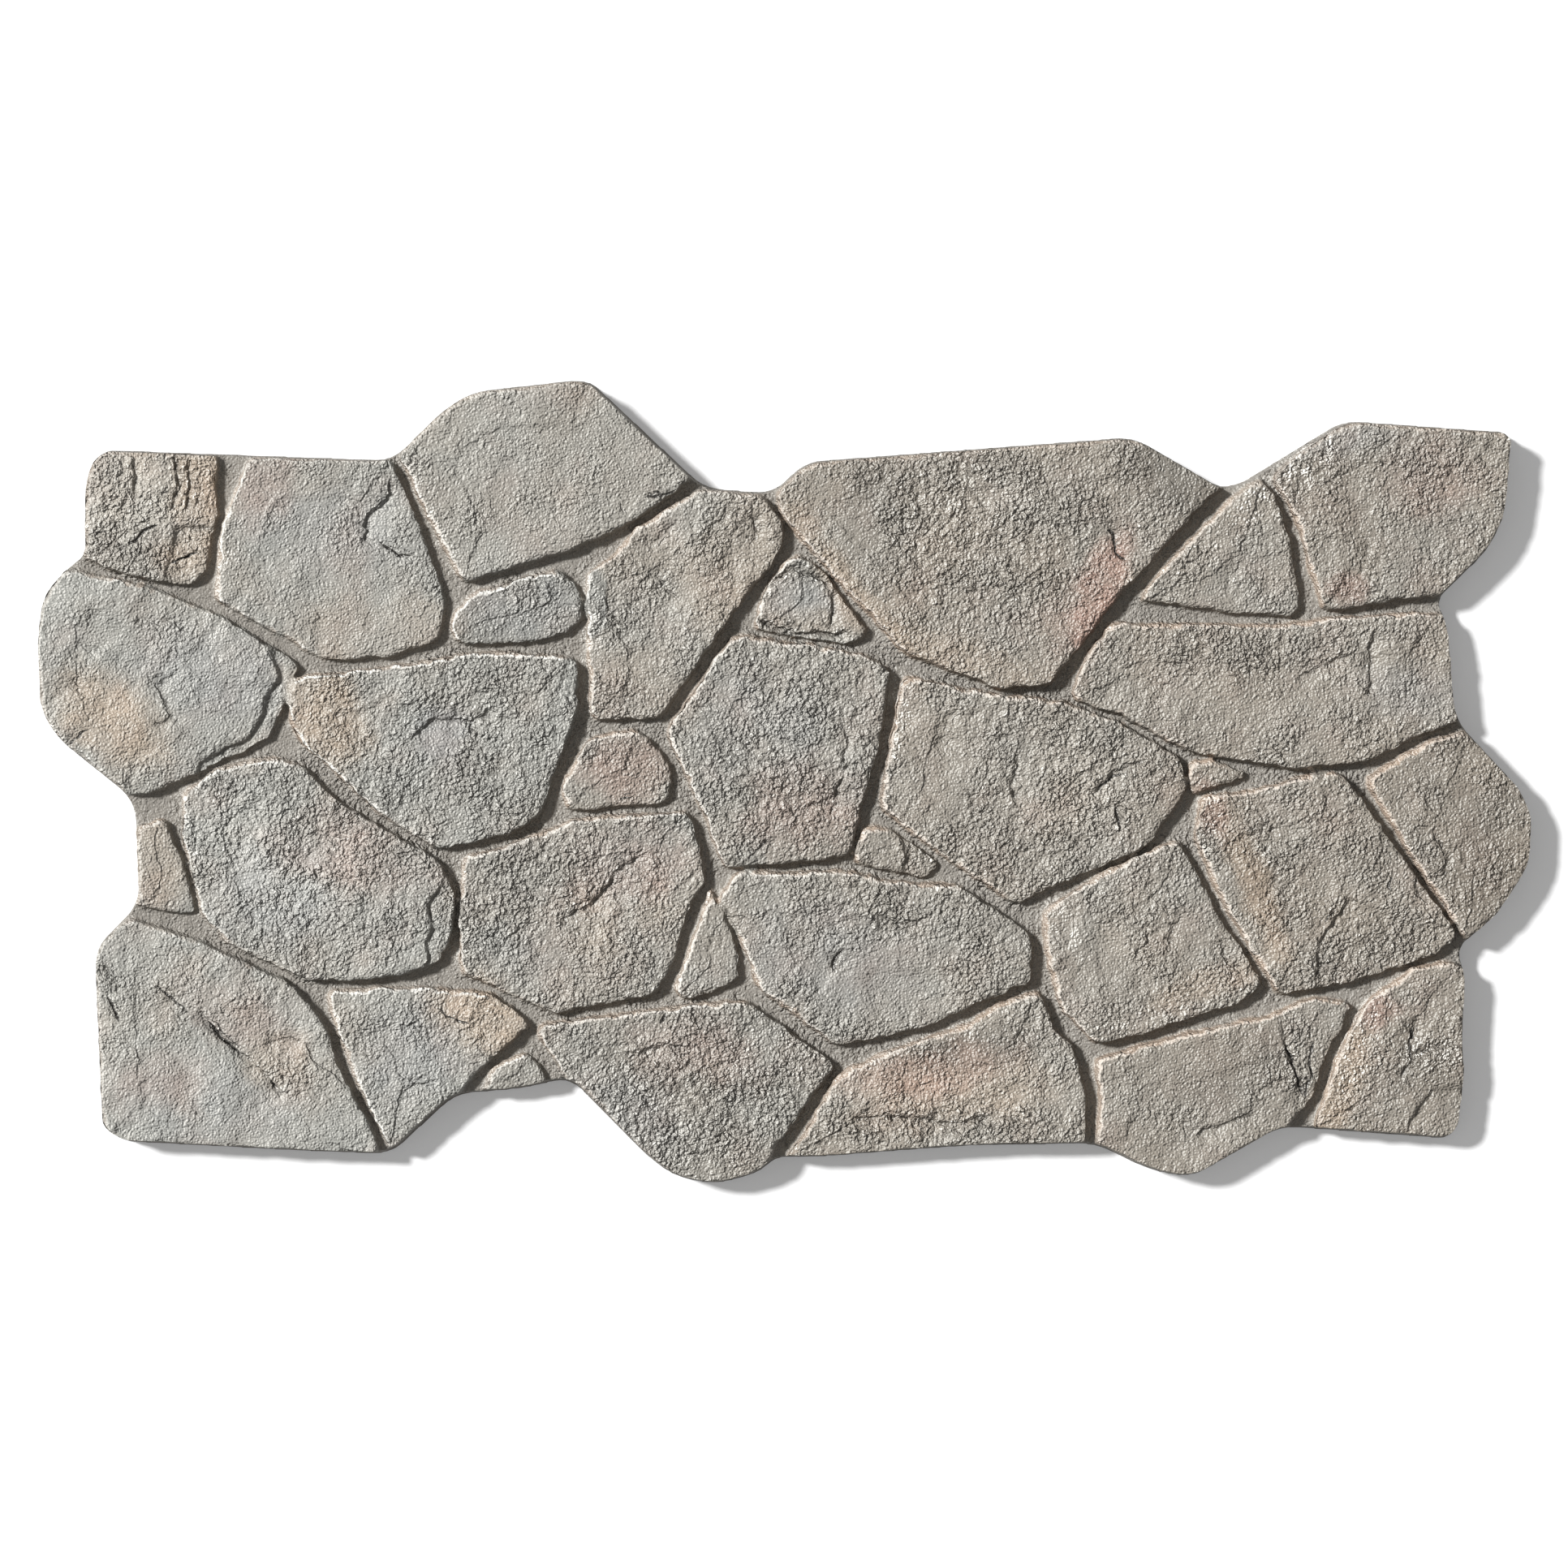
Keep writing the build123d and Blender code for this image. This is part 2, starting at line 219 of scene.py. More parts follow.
COOL = (0.370, 0.368, 0.338, 1)
WARM = (0.345, 0.300, 0.246, 1)
TAN = (0.490, 0.390, 0.295, 1)
PINK = (0.450, 0.290, 0.232, 1)
BLUE = (0.345, 0.352, 0.352, 1)
# Pale chalk, also the colour of the painted highlight
CHALK_AND_HIGHLIGHT = (0.900, 0.880, 0.820, 1)
# Painted highlight on the lit arrises of warm stones
WARM_HIGHLIGHT = (0.640, 0.540, 0.450, 1)
# Colour of the painted shade
PAINTED_SHADE = (0.070, 0.064, 0.058, 1)
# Painted light on the stones' sides that face the light
LIT_SLOPE_PAINTED_LIGHT = (0.500, 0.385, 0.295, 1)
JOINT = (0.290, 0.270, 0.240, 1)
BARE_FOAM = (0.420, 0.385, 0.330, 1)
FOAM_PORES = (0.300, 0.270, 0.230, 1)
WHITE = (1, 1, 1, 1)

# Sockets of a node that mixes two colours. Their names are also those of its sockets for other values
MIX_SHARE, MIX_FIRST, MIX_SECOND, MIX_RESULT = 0, 6, 7, 2

# Camera, light and floor
PHOTO_WIDTH = 1097.4  # width of what the camera sees at the panel's face
PHOTO_MIDDLE = (-0.3, -1.7)  # the place on the panel that the camera looks at
LENS = 150.0
SENSOR = 36.0
SIGHT = 50000.0  # the camera sees as far as this
SUN_TURN = 155.0  # the light comes from the upper left, in degrees from +X
SUN_HEIGHT = 46.0
SUN_STRENGTH = 4.2
SUN_SOFTNESS = 8.0
SKY_STRENGTH = 0.26
FLOOR_LEVEL = 0.05  # just over the back, so that they don't share a plane
FLOOR_REACH = 4000.0
FLOOR_COLOUR = (0.86, 0.86, 0.86, 1)
FLOOR_ROUGHNESS = 0.9
FLOOR_GLOW = 0.16  # makes the lit floor white, with the shadow on it

# How each stone is finished: a point on it, how warm and how light its paint is, how much crust it has and
# how strongly its face is broken into layers
Finish = namedtuple("Finish", "stone x y warmth light crust layers")
FINISHES = [Finish(*row) for row in (
    ("top_left_square", -450, 215, 0.45, 1.04, 1.2, 1.0),
    ("top_left_second", -320, 160, 0.15, 1.0, 0.6, 0.5),
    ("top_crest", -170, 230, 0.35, 1.0, 0.7, 0.3),
    ("upper_block", -190, 122, 0.1, 0.84, 0.9, 0.4),
    ("upper_tall", -60, 150, 0.5, 0.98, 1.0, 0.9),
    ("upper_wedge", 15, 125, 0.25, 0.93, 0.8, 0.4),
    ("great_stone", 120, 180, 0.7, 0.92, 1.1, 0.5),
    ("top_right_wedge", 320, 150, 0.6, 0.93, 0.9, 0.5),
    ("top_right_corner", 430, 190, 0.65, 0.88, 1.0, 0.6),
    ("left_lobe", -440, 60, 0.1, 1.02, 0.5, 0.8),
    ("left_middle", -240, 0, 0.1, 0.96, 1.2, 0.8),
    ("small_block", -110, 10, 0.5, 0.95, 0.9, 0.3),
    ("centre_stone", 0, 30, 0.4, 0.96, 1.3, 0.9),
    ("right_middle", 180, 0, 0.6, 0.94, 1.3, 0.9),
    ("right_wide", 350, 65, 0.7, 0.92, 1.0, 0.7),
    ("little_wedge", 302, 7, 0.7, 0.9, 0.7, 0.2),
    ("left_sliver", -440, -55, 0.25, 1.0, 0.7, 0.3),
    ("left_lower", -330, -60, 0.15, 1.02, 1.2, 0.7),
    ("middle_lower", -150, -90, 0.3, 0.98, 1.2, 0.7),
    ("spike", -50, -125, 0.4, 0.93, 0.7, 0.3),
    ("bottom_middle", 60, -115, 0.45, 0.94, 1.1, 0.9),
    ("split_chip", 68, -45, 0.6, 0.92, 0.8, 0.2),
    ("right_lower", 250, -110, 0.6, 0.92, 1.0, 0.7),
    ("right_square", 370, -60, 0.75, 0.9, 1.1, 0.7),
    ("right_lobe", 480, -40, 0.85, 0.8, 0.8, 0.6),
    ("bottom_left_corner", -400, -210, 0.1, 1.04, 0.7, 0.7),
    ("bottom_left_wedge", -270, -180, 0.1, 0.99, 0.9, 0.7),
    ("bottom_chip", -190, -208, 0.3, 0.92, 0.7, 0.2),
    ("bottom_lobe", -70, -210, 0.35, 0.93, 1.3, 0.8),
    ("bottom_centre", 120, -210, 0.6, 0.98, 1.1, 0.7),
    ("bottom_right", 300, -220, 0.7, 0.9, 0.7, 0.6),
    ("bottom_right_corner", 440, -175, 0.75, 0.87, 0.9, 0.8),
)]

# Ledges. The ground falls off on the right hand of the path, and comes back to level over the reach
Ledge = namedtuple("Ledge", "drop reach path")
LEDGES = [Ledge(*row) for row in (
    # top_left_square
    (2.2, 9, [(-459, 192), (-456, 210), (-458, 229)]),
    (2.8, 8, [(-430, 190), (-427, 208), (-428, 230)]),
    (2.2, 8, [(-420, 188), (-418, 212), (-419, 230)]),
    (0.8, 6, [(-425, 178), (-411, 180), (-397, 179)]),
    # top_left_second
    (2.8, 22, [(-297, 164), (-292, 186), (-277, 201), (-278, 211)]),
    # upper_tall
    (2.2, 14, [(-23, 164), (-21, 176), (-27, 187)]),
    (1.7, 12, [(-27, 187), (-38, 187), (-47, 180), (-52, 169)]),
    (2.1, 17, [(-92, 152), (-85, 145), (-82, 135), (-72, 126)]),
    (1.4, 9, [(-72, 184), (-84, 172), (-96, 163)]),
    (1.8, 12, [(-122, 121), (-114, 108), (-108, 94)]),
    # upper_wedge
    (2.8, 11, [(34, 133), (25, 141), (5, 147), (-10, 136), (-19, 125), (-21, 117)]),
    (2.4, 12, [(27, 106), (34, 120), (35, 136)]),
    (3.6, 14, [(-19, 116), (-3, 108), (8, 104), (23, 106), (48, 105)]),
    # great_stone
    (1.4, 14, [(240, 152), (232, 160), (228, 173), (225, 181)]),
    # top_right_wedge and top_right_corner
    (1.4, 12, [(317, 183), (325, 173), (325, 161), (316, 144), (312, 129)]),
    (1.5, 14, [(408, 172), (410, 157), (407, 146), (402, 136)]),
    (0.9, 10, [(391, 148), (398, 134), (396, 123)]),
    # left_lobe
    (1.5, 24, [(-414, 104), (-432, 112), (-457, 109)]),
    (1.4, 12, [(-472, 92), (-481, 94), (-492, 90)]),
    (1.4, 14, [(-489, 67), (-500, 65), (-515, 54)]),
    (1.8, 16, [(-443, 38), (-430, 46), (-437, 59), (-440, 69), (-424, 79)]),
    (0.9, 6, [(-408, 15), (-379, 28), (-365, 48), (-363, 61), (-354, 75), (-361, 89)]),
    # left_middle
    (2.2, 18, [(-262, 29), (-245, 44), (-219, 44), (-202, 52)]),
    (2.4, 20, [(-316, 2), (-295, -4), (-284, -22)]),
    # centre_stone
    (1.7, 12, [(38, 12), (43, 26), (41, 43)]),
    (1.8, 12, [(27, -28), (34, -14), (38, 1), (46, 15)]),
    (0.9, 16, [(10, 70), (-12, 66), (-30, 48)]),
    # right_middle
    (2.2, 16, [(160, -17), (157, -2), (162, 12), (158, 24)]),
    (1.7, 13, [(213, -12), (222, 2), (240, 12), (256, 17)]),
    (1.8, 12, [(235, -38), (232, -24), (229, -12)]),
    (1.4, 14, [(120, 50), (112, 34), (114, 20)]),
    # right_wide
    (1.5, 11, [(356, 71), (377, 83), (397, 90)]),
    (2.0, 14, [(407, 59), (410, 70), (409, 92), (416, 108)]),
    (1.4, 12, [(300, 92), (286, 84), (270, 80)]),
    # left_lower
    (0.9, 6, [(-253, -135), (-250, -125), (-251, -113), (-247, -103), (-250, -87), (-239, -70)]),
    (1.4, 16, [(-300, -36), (-322, -44), (-340, -62)]),
    # middle_lower
    (2.5, 22, [(-160, -96), (-142, -89), (-127, -77), (-119, -62), (-97, -50)]),
    # split_chip
    (0.8, 6, [(82, -66), (85, -50), (79, -34)]),
    # bottom_middle
    (1.4, 18, [(62, -92), (80, -98), (101, -96)]),
    # right_lower
    (2.0, 16, [(317, -137), (306, -124), (304, -108)]),
    (1.5, 14, [(268, -118), (270, -102), (281, -92)]),
    # right_square
    (0.8, 6, [(371, -140), (374, -111), (382, -100), (395, -80)]),
    (1.8, 12, [(452, -89), (442, -76), (444, -63)]),
    (1.4, 12, [(343, -60), (345, -73), (336, -86)]),
    # right_lobe
    (1.5, 12, [(461, -68), (464, -55), (457, -44), (455, -32)]),
    (0.9, 10, [(444, 2), (435, -13), (425, -19)]),
    # bottom_left_corner
    (2.8, 12, [(-478, -126), (-468, -138), (-462, -149)]),
    (2.5, 18, [(-410, -158), (-397, -174), (-384, -186), (-371, -197), (-359, -208), (-346, -220)]),
    (1.8, 24, [(-368, -186), (-359, -180), (-346, -180), (-337, -183)]),
    (1.8, 30, [(-308, -214), (-326, -197), (-337, -183)]),
    # bottom_left_wedge
    (1.4, 14, [(-272, -216), (-258, -212), (-240, -208)]),
    # bottom_lobe
    (0.9, 6, [(-5, -252), (8, -242), (18, -221), (29, -207)]),
    (1.7, 14, [(-104, -190), (-86, -182), (-64, -186)]),
    # bottom_centre
    (2.2, 16, [(46, -236), (72, -232), (104, -238), (146, -234)]),
    # bottom_right
    (0.8, 6, [(357, -219), (358, -206), (352, -193), (349, -180)]),
    (2.1, 18, [(286, -246), (308, -239), (321, -235), (330, -228)]),
    (0.9, 14, [(343, -160), (334, -174), (323, -182), (320, -195)]),
    # bottom_right_corner
    (2.2, 16, [(430, -208), (439, -193), (437, -179), (441, -162)]),
    (1.7, 14, [(477, -184), (456, -187), (439, -193)]),
    (0.8, 6, [(433, -251), (438, -235), (455, -215)]),
)]

# Cracks, each with its width and depth
Crack = namedtuple("Crack", "width depth path")
CRACKS = [Crack(*row) for row in (
    (3.0, 3.0, [(-433, 153), (-422, 156), (-410, 161)]),
    (2.2, 2.0, [(-486, 174), (-480, 175), (-473, 177)]),
    (3.4, 2.6, [(-461, 166), (-453, 170), (-447, 176), (-437, 180)]),
    (2.4, 2.2, [(-285, 169), (-279, 163), (-271, 159), (-260, 160)]),
    (2.4, 2.0, [(-116, 198), (-115, 186)]),
    (2.4, 1.8, [(-99, 197), (-86, 199), (-74, 206)]),
    (2.6, 2.4, [(7, 104), (14, 113)]),
    (2.4, 2.2, [(225, 180), (228, 173), (232, 160), (240, 154)]),
    (2.2, 1.8, [(-503, 26), (-495, 31), (-486, 37)]),
    (2.2, 1.6, [(-119, -15), (-109, -12), (-103, -9)]),
    (2.0, 1.6, [(-28, -58), (-20, -47), (-9, -39)]),
    (2.4, 2.0, [(408, 58), (411, 67)]),
    (2.4, 2.2, [(376, -101), (386, -88)]),
    (2.2, 2.0, [(424, -61), (423, -79)]),
    (3.6, 2.6, [(-474, -149), (-470, -158), (-465, -170)]),
    (2.0, 1.6, [(-442, -143), (-430, -153), (-416, -162)]),
    (3.0, 2.4, [(-404, -166), (-397, -175), (-390, -184), (-380, -190)]),
    (2.4, 1.8, [(-361, -207), (-352, -217)]),
    (1.8, 1.2, [(-246, -159), (-232, -167), (-217, -168)]),
    (3.4, 2.6, [(41, -115), (37, -125), (33, -136)]),
    (2.4, 2.0, [(-83, -157), (-87, -172)]),
    (3.0, 2.2, [(-25, -205), (-29, -214)]),
    (2.2, 2.0, [(-44, -221), (-32, -226)]),
    (2.4, 2.4, [(351, -181), (357, -205), (363, -220)]),
    (2.2, 2.0, [(371, -182), (369, -201), (363, -222)]),
    (2.2, 1.8, [(439, -169), (437, -185), (440, -196)]),
    (2.0, 1.4, [(465, 50), (471, 57)]),
    (2.6, 2.0, [(230, -15), (235, -35)]),
    (2.4, 1.8, [(217, -4), (228, 3), (240, 6)]),
)]

# Crust that is coarser or calmer than the rest: middle, reach along and across, turn in degrees, amount
Patch = namedtuple("Patch", "x y reach_along reach_across turn amount")
CRUSTS = [Patch(*row) for row in (
    (-467, 192, 22, 34, 0, 0.9),
    (-150, 232, 60, 30, 10, -0.3),
    (-320, 120, 50, 36, 0, -0.5),
    (130, 185, 90, 48, -20, 0.6),
    (30, 190, 36, 40, 0, -0.5),
    (290, 215, 36, 20, -30, -0.8),
    (-205, 20, 40, 42, 0, 0.7),
    (-242, 33, 14, 17, 30, -1.2),
    (5, 0, 48, 46, 0, 0.5),
    (105, 12, 26, 44, 0, -0.9),
    (215, -8, 54, 34, 15, 0.8),
    (300, 92, 70, 18, 5, 0.6),
    (425, 84, 20, 16, 0, -0.9),
    (300, 50, 50, 22, 10, -0.4),
    (-330, -50, 56, 36, -20, 0.7),
    (-185, -75, 44, 34, 20, 0.8),
    (60, -85, 60, 20, 0, 0.6),
    (60, -140, 60, 26, -10, -0.7),
    (230, -85, 50, 18, 20, 0.3),
    (215, -120, 26, 30, 0, -0.8),
    (410, -120, 44, 22, 15, 0.9),
    (320, -85, 22, 34, 25, -0.3),
    (-430, -215, 56, 34, 0, -0.4),
    (-360, -235, 44, 20, -10, -0.6),
    (-60, -225, 62, 34, 0, 0.7),
    (95, -240, 62, 12, 3, 1.2),
    (120, -195, 60, 20, 10, -0.4),
    (285, -205, 40, 22, 10, -0.6),
    (362, -200, 14, 36, 10, 0.8),
    (300, -262, 44, 14, 10, -0.5),
    (462, -232, 22, 22, 0, -1.4),
    (370, 235, 30, 18, 35, 0.5),
)]

# Washes of paint
TANS = [Patch(*row) for row in (
    (-408, 208, 20, 34, 0, 0.9),
    (-418, 160, 26, 14, 10, 0.8),
    (-470, 42, 44, 26, -45, 0.9),
    (-322, 45, 26, 44, 20, 1.0),
    (-280, 105, 52, 26, 0, 0.35),
    (-210, -165, 34, 24, -25, 1.2),
    (-352, -196, 22, 26, -40, 0.6),
    (-440, -56, 20, 34, 10, 0.5),
    (-120, -110, 60, 36, 0, 0.4),
    (55, 120, 12, 70, 36, 0.8),
    (300, -140, 40, 12, 18, 0.7),
    (20, 112, 30, 10, -5, 0.5),
    (330, -75, 12, 60, 22, 1.0),
    (388, -215, 14, 44, -22, 1.3),
    (110, -215, 66, 26, 5, 0.7),
    (120, 85, 60, 16, -15, 0.6),
    (-30, 150, 70, 40, 50, 0.3),
)]
PINKS = [Patch(*row) for row in (
    (224, 140, 14, 38, -20, 1.1),
    (205, 112, 26, 26, 0, 0.4),
    (-362, 210, 20, 34, -15, 0.35),
    (-300, -50, 50, 30, -20, 0.35),
    (-110, -60, 50, 28, 10, 0.35),
    (-60, -190, 50, 22, 0, 0.35),
    (15, -20, 40, 34, 0, 0.35),
    (100, -205, 60, 18, 10, 0.6),
    (396, 135, 16, 12, 0, 0.6),
    (452, 215, 36, 26, 0, 0.35),
    (-110, 8, 34, 22, 0, 0.5),
    (412, -158, 16, 14, 0, 0.9),
    (300, -20, 10, 26, 20, 0.6),
    (-385, -165, 40, 20, -30, 0.3),
    (-440, -205, 30, 20, 0, 0.35),
)]
BLUES = [Patch(*row) for row in (
    (-310, 175, 50, 34, 0, 0.5),
    (-400, 75, 54, 30, -20, 0.8),
    (-242, 33, 18, 20, 30, 1.2),
    (-180, 122, 50, 22, 0, 0.5),
    (-360, -80, 50, 34, 0, 0.6),
    (-400, -230, 70, 26, 0, 0.5),
    (-265, -195, 30, 34, -30, 0.7),
    (-150, -120, 60, 26, 0, 0.4),
    (30, -125, 60, 36, -15, 0.6),
    (380, 240, 50, 14, 10, 0.7),
    (-20, 40, 44, 40, 0, 0.5),
    (10, 128, 24, 14, 0, 0.7),
    (440, 62, 44, 20, 0, 0.5),
    (-110, -235, 44, 26, -40, 0.5),
)]

# Lighter and darker stretches
SHADES = [Patch(*row) for row in (
    (270, 215, 44, 26, -30, -0.3),
    (60, 200, 30, 40, 0, -0.15),
    (130, -188, 50, 14, 8, -0.25),
    (440, -200, 40, 26, 0, -0.15),
    (490, -50, 24, 40, 0, -0.15),
    (320, -200, 40, 24, 10, -0.12),
    (330, -70, 20, 40, 20, -0.12),
    (-460, 205, 30, 34, 0, 0.3),
    (-345, -55, 50, 36, -20, 0.25),
    (205, -5, 40, 34, 10, 0.22),
    (130, 180, 50, 34, -20, 0.08),
    (0, 45, 40, 30, 0, 0.08),
    (300, -225, 30, 16, 0, -0.12),
    (410, -195, 12, 34, -22, 0.2),
)]

# Where brush marks of chalk lie. The chalk shows only where the surface faces the sun, as painted highlight
CHALKS = [Patch(*row) for row in (
    (360, 218, 16, 40, -42, 1.2),
    (335, 205, 8, 60, -38, 0.9),
    (405, -180, 14, 38, -22, 1.3),
    (458, -190, 24, 14, 0, 0.8),
    (78, 45, 8, 46, -8, 1.5),
    (-137, 100, 8, 60, 0, 0.7),
    (-392, 140, 8, 60, -8, 0.6),
    (-240, 170, 8, 60, 25, 0.5),
    (297, -22, 12, 26, -20, 0.7),
    (195, -100, 10, 30, 25, 0.7),
    (-420, -30, 10, 50, 10, 0.6),
    (-228, -90, 8, 50, 0, 0.6),
    (-90, -240, 60, 40, -45, 0.4),
    (255, -168, 60, 10, 10, 0.6),
    (100, -180, 60, 10, 20, 0.6),
    (-15, -200, 30, 36, 0, 0.4),
    (130, 190, 60, 40, 0, 0.4),
)]


def eased(value):
    """0 below 0, 1 above 1 and a smooth rise between them."""
    value = np.clip(value, 0, 1)
    return value * value * (3 - 2 * value)


def rising(value, start, full):
    """0 up to the start and 1 from the full value on."""
    return eased((value - start) / (full - start))


def falling(value, reach):
    """1 at 0 and 0 from the reach on."""
    return eased(1 - value / reach)


def lattice_noise(x, y, size, seed):
    """Smooth noise from about -1 to 1 with lumps of the size, on a lattice of its own turn."""
    draw = np.random.default_rng(seed)
    lattice_turn = draw.random() * math.pi
    angles = draw.random((LATTICE, LATTICE)) * 2 * math.pi
    slope_u, slope_v = np.cos(angles), np.sin(angles)
    u = (x * math.cos(lattice_turn) + y * math.sin(lattice_turn)) / size
    v = (y * math.cos(lattice_turn) - x * math.sin(lattice_turn)) / size
    column, row = np.floor(u).astype(int), np.floor(v).astype(int)
    u, v = u - column, v - row

    def corner(right, up):
        place = (column + right) % LATTICE, (row + up) % LATTICE
        return slope_u[place] * (u - right) + slope_v[place] * (v - up)

    lower = corner(0, 0) + (corner(1, 0) - corner(0, 0)) * eased(u)
    upper = corner(0, 1) + (corner(1, 1) - corner(0, 1)) * eased(u)
    return LATTICE_GAIN * (lower + (upper - lower) * eased(v))


def rough(kind, x, y):
    """The named noise at the points, from about minus its height to its height."""
    total = 0
    for octave in range(kind.octaves):
        total = total + lattice_noise(x, y, kind.size / 2 ** octave, kind.seed + octave) / 2 ** octave
    return kind.height * (total / (LAYERED_SUM if kind.octaves > 1 else 1))


def lumps(kind, x, y):
    """Rounded lumps with creases between them: 0 in a crease, about the height at a top."""
    return kind.height * (LUMP_GAIN * np.abs(lattice_noise(x, y, kind.size, kind.seed)))


def beside(path, x, y):
    """How far each point lies from the path, with a plus on its right hand, and how whole the path is."""
    nearest = np.full(x.shape, np.inf)
    hand, along = np.zeros(x.shape), np.zeros(x.shape)
    gone = 0
    for (start_x, start_y), (end_x, end_y) in zip(path, path[1:]):
        run = math.hypot(end_x - start_x, end_y - start_y)
        way_x, way_y = (end_x - start_x) / run, (end_y - start_y) / run
        step = np.clip((x - start_x) * way_x + (y - start_y) * way_y, 0, run)
        away = np.hypot(x - start_x - step * way_x, y - start_y - step * way_y)
        right = (x - start_x) * way_y - (y - start_y) * way_x
        nearer = away < nearest
        nearest = np.where(nearer, away, nearest)
        hand = np.where(nearer, np.sign(right), hand)
        along = np.where(nearer, gone + step, along)
        gone += run
    ends = eased(along / END_TAPER) * eased((gone - along) / END_TAPER)
    return nearest * hand, ends


def near_path(path, margin, x, y):
    """The indices of the points in the path's own box, with a margin round it."""
    path_x, path_y = zip(*path)
    inside = (x > min(path_x) - margin) & (x < max(path_x) + margin)
    inside &= (y > min(path_y) - margin) & (y < max(path_y) + margin)
    return np.nonzero(inside)[0]


def ledge_relief(x, y):
    """The fall of the ground at all ledges."""
    total = np.zeros(x.shape)
    for ledge in LEDGES:
        local = near_path(ledge.path, ledge.reach + RISER, x, y)
        right, ends = beside(ledge.path, x[local], y[local])
        total[local] -= ledge.drop * ends * eased(right / RISER) * (1 - eased(right / ledge.reach))
    return total


def crack_relief(x, y):
    """The depth of all cracks."""
    total = np.zeros(x.shape)
    for crack in CRACKS:
        local = near_path(crack.path, crack.width, x, y)
        away, ends = beside(crack.path, x[local], y[local])
        total[local] -= crack.depth * ends * (1 - eased(np.abs(away) / (crack.width / 2)))
    return total


def nearest_line(lines, x, y):
    """How far each point lies to the right of the nearest path, and that path's size there."""
    side = np.full(x.shape, LINE_REACH)
    size = np.zeros(x.shape)
    for path, path_size in lines:
        local = near_path(path, LINE_REACH, x, y)
        right, ends = beside(path, x[local], y[local])
        closer = np.abs(right) < np.abs(side[local])
        side[local] = np.where(closer, right, side[local])
        size[local] = np.where(closer, path_size * ends, size[local])
    return side, size * (1 - eased(np.abs(side) / LINE_REACH))


def patch_amount(patches, x, y):
    """How much of the patches' amount each point has. A patch fades out unevenly round its reach."""
    total = np.zeros(x.shape)
    ragged_edge = rough(PATCH_EDGE, x, y)
    for patch in patches:
        turn = math.radians(patch.turn)
        aside_x, aside_y = x - patch.x, y - patch.y
        along = (aside_x * math.cos(turn) + aside_y * math.sin(turn)) / patch.reach_along
        across = (aside_y * math.cos(turn) - aside_x * math.sin(turn)) / patch.reach_across
        total += patch.amount * eased(PATCH_END - np.hypot(along, across) + ragged_edge)
    return total


def spread(labels, allowed, steps):
    """Lets each label grow into the allowed cells beside it, one cell at a time."""
    for _ in range(steps):
        for axis, way in NEXT_CELLS:
            neighbour = np.roll(labels, way, axis)
            labels = np.where((labels < 0) & allowed & (neighbour >= 0), neighbour, labels)
    return labels


def depth_inside(mask, steps):
    """How far each cell of the mask lies from the cells outside it, in millimetres."""
    depth = np.zeros(mask.shape)
    for step in range(steps):
        depth += mask * CELL
        smaller = mask.copy()
        for axis, way in NEXT_CELLS:
            smaller &= np.roll(mask, way, axis)
        if step % 2:
            for way in ((1, 1), (1, -1), (-1, 1), (-1, -1)):
                smaller &= np.roll(mask, way, (0, 1))
        mask = smaller
    return depth


def smoothed(values):
    """Each cell's value averaged with its eight neighbours'."""
    rows = (np.roll(values, 1, 0) + values + np.roll(values, -1, 0)) / 3
    return (np.roll(rows, 1, 1) + rows + np.roll(rows, -1, 1)) / 3


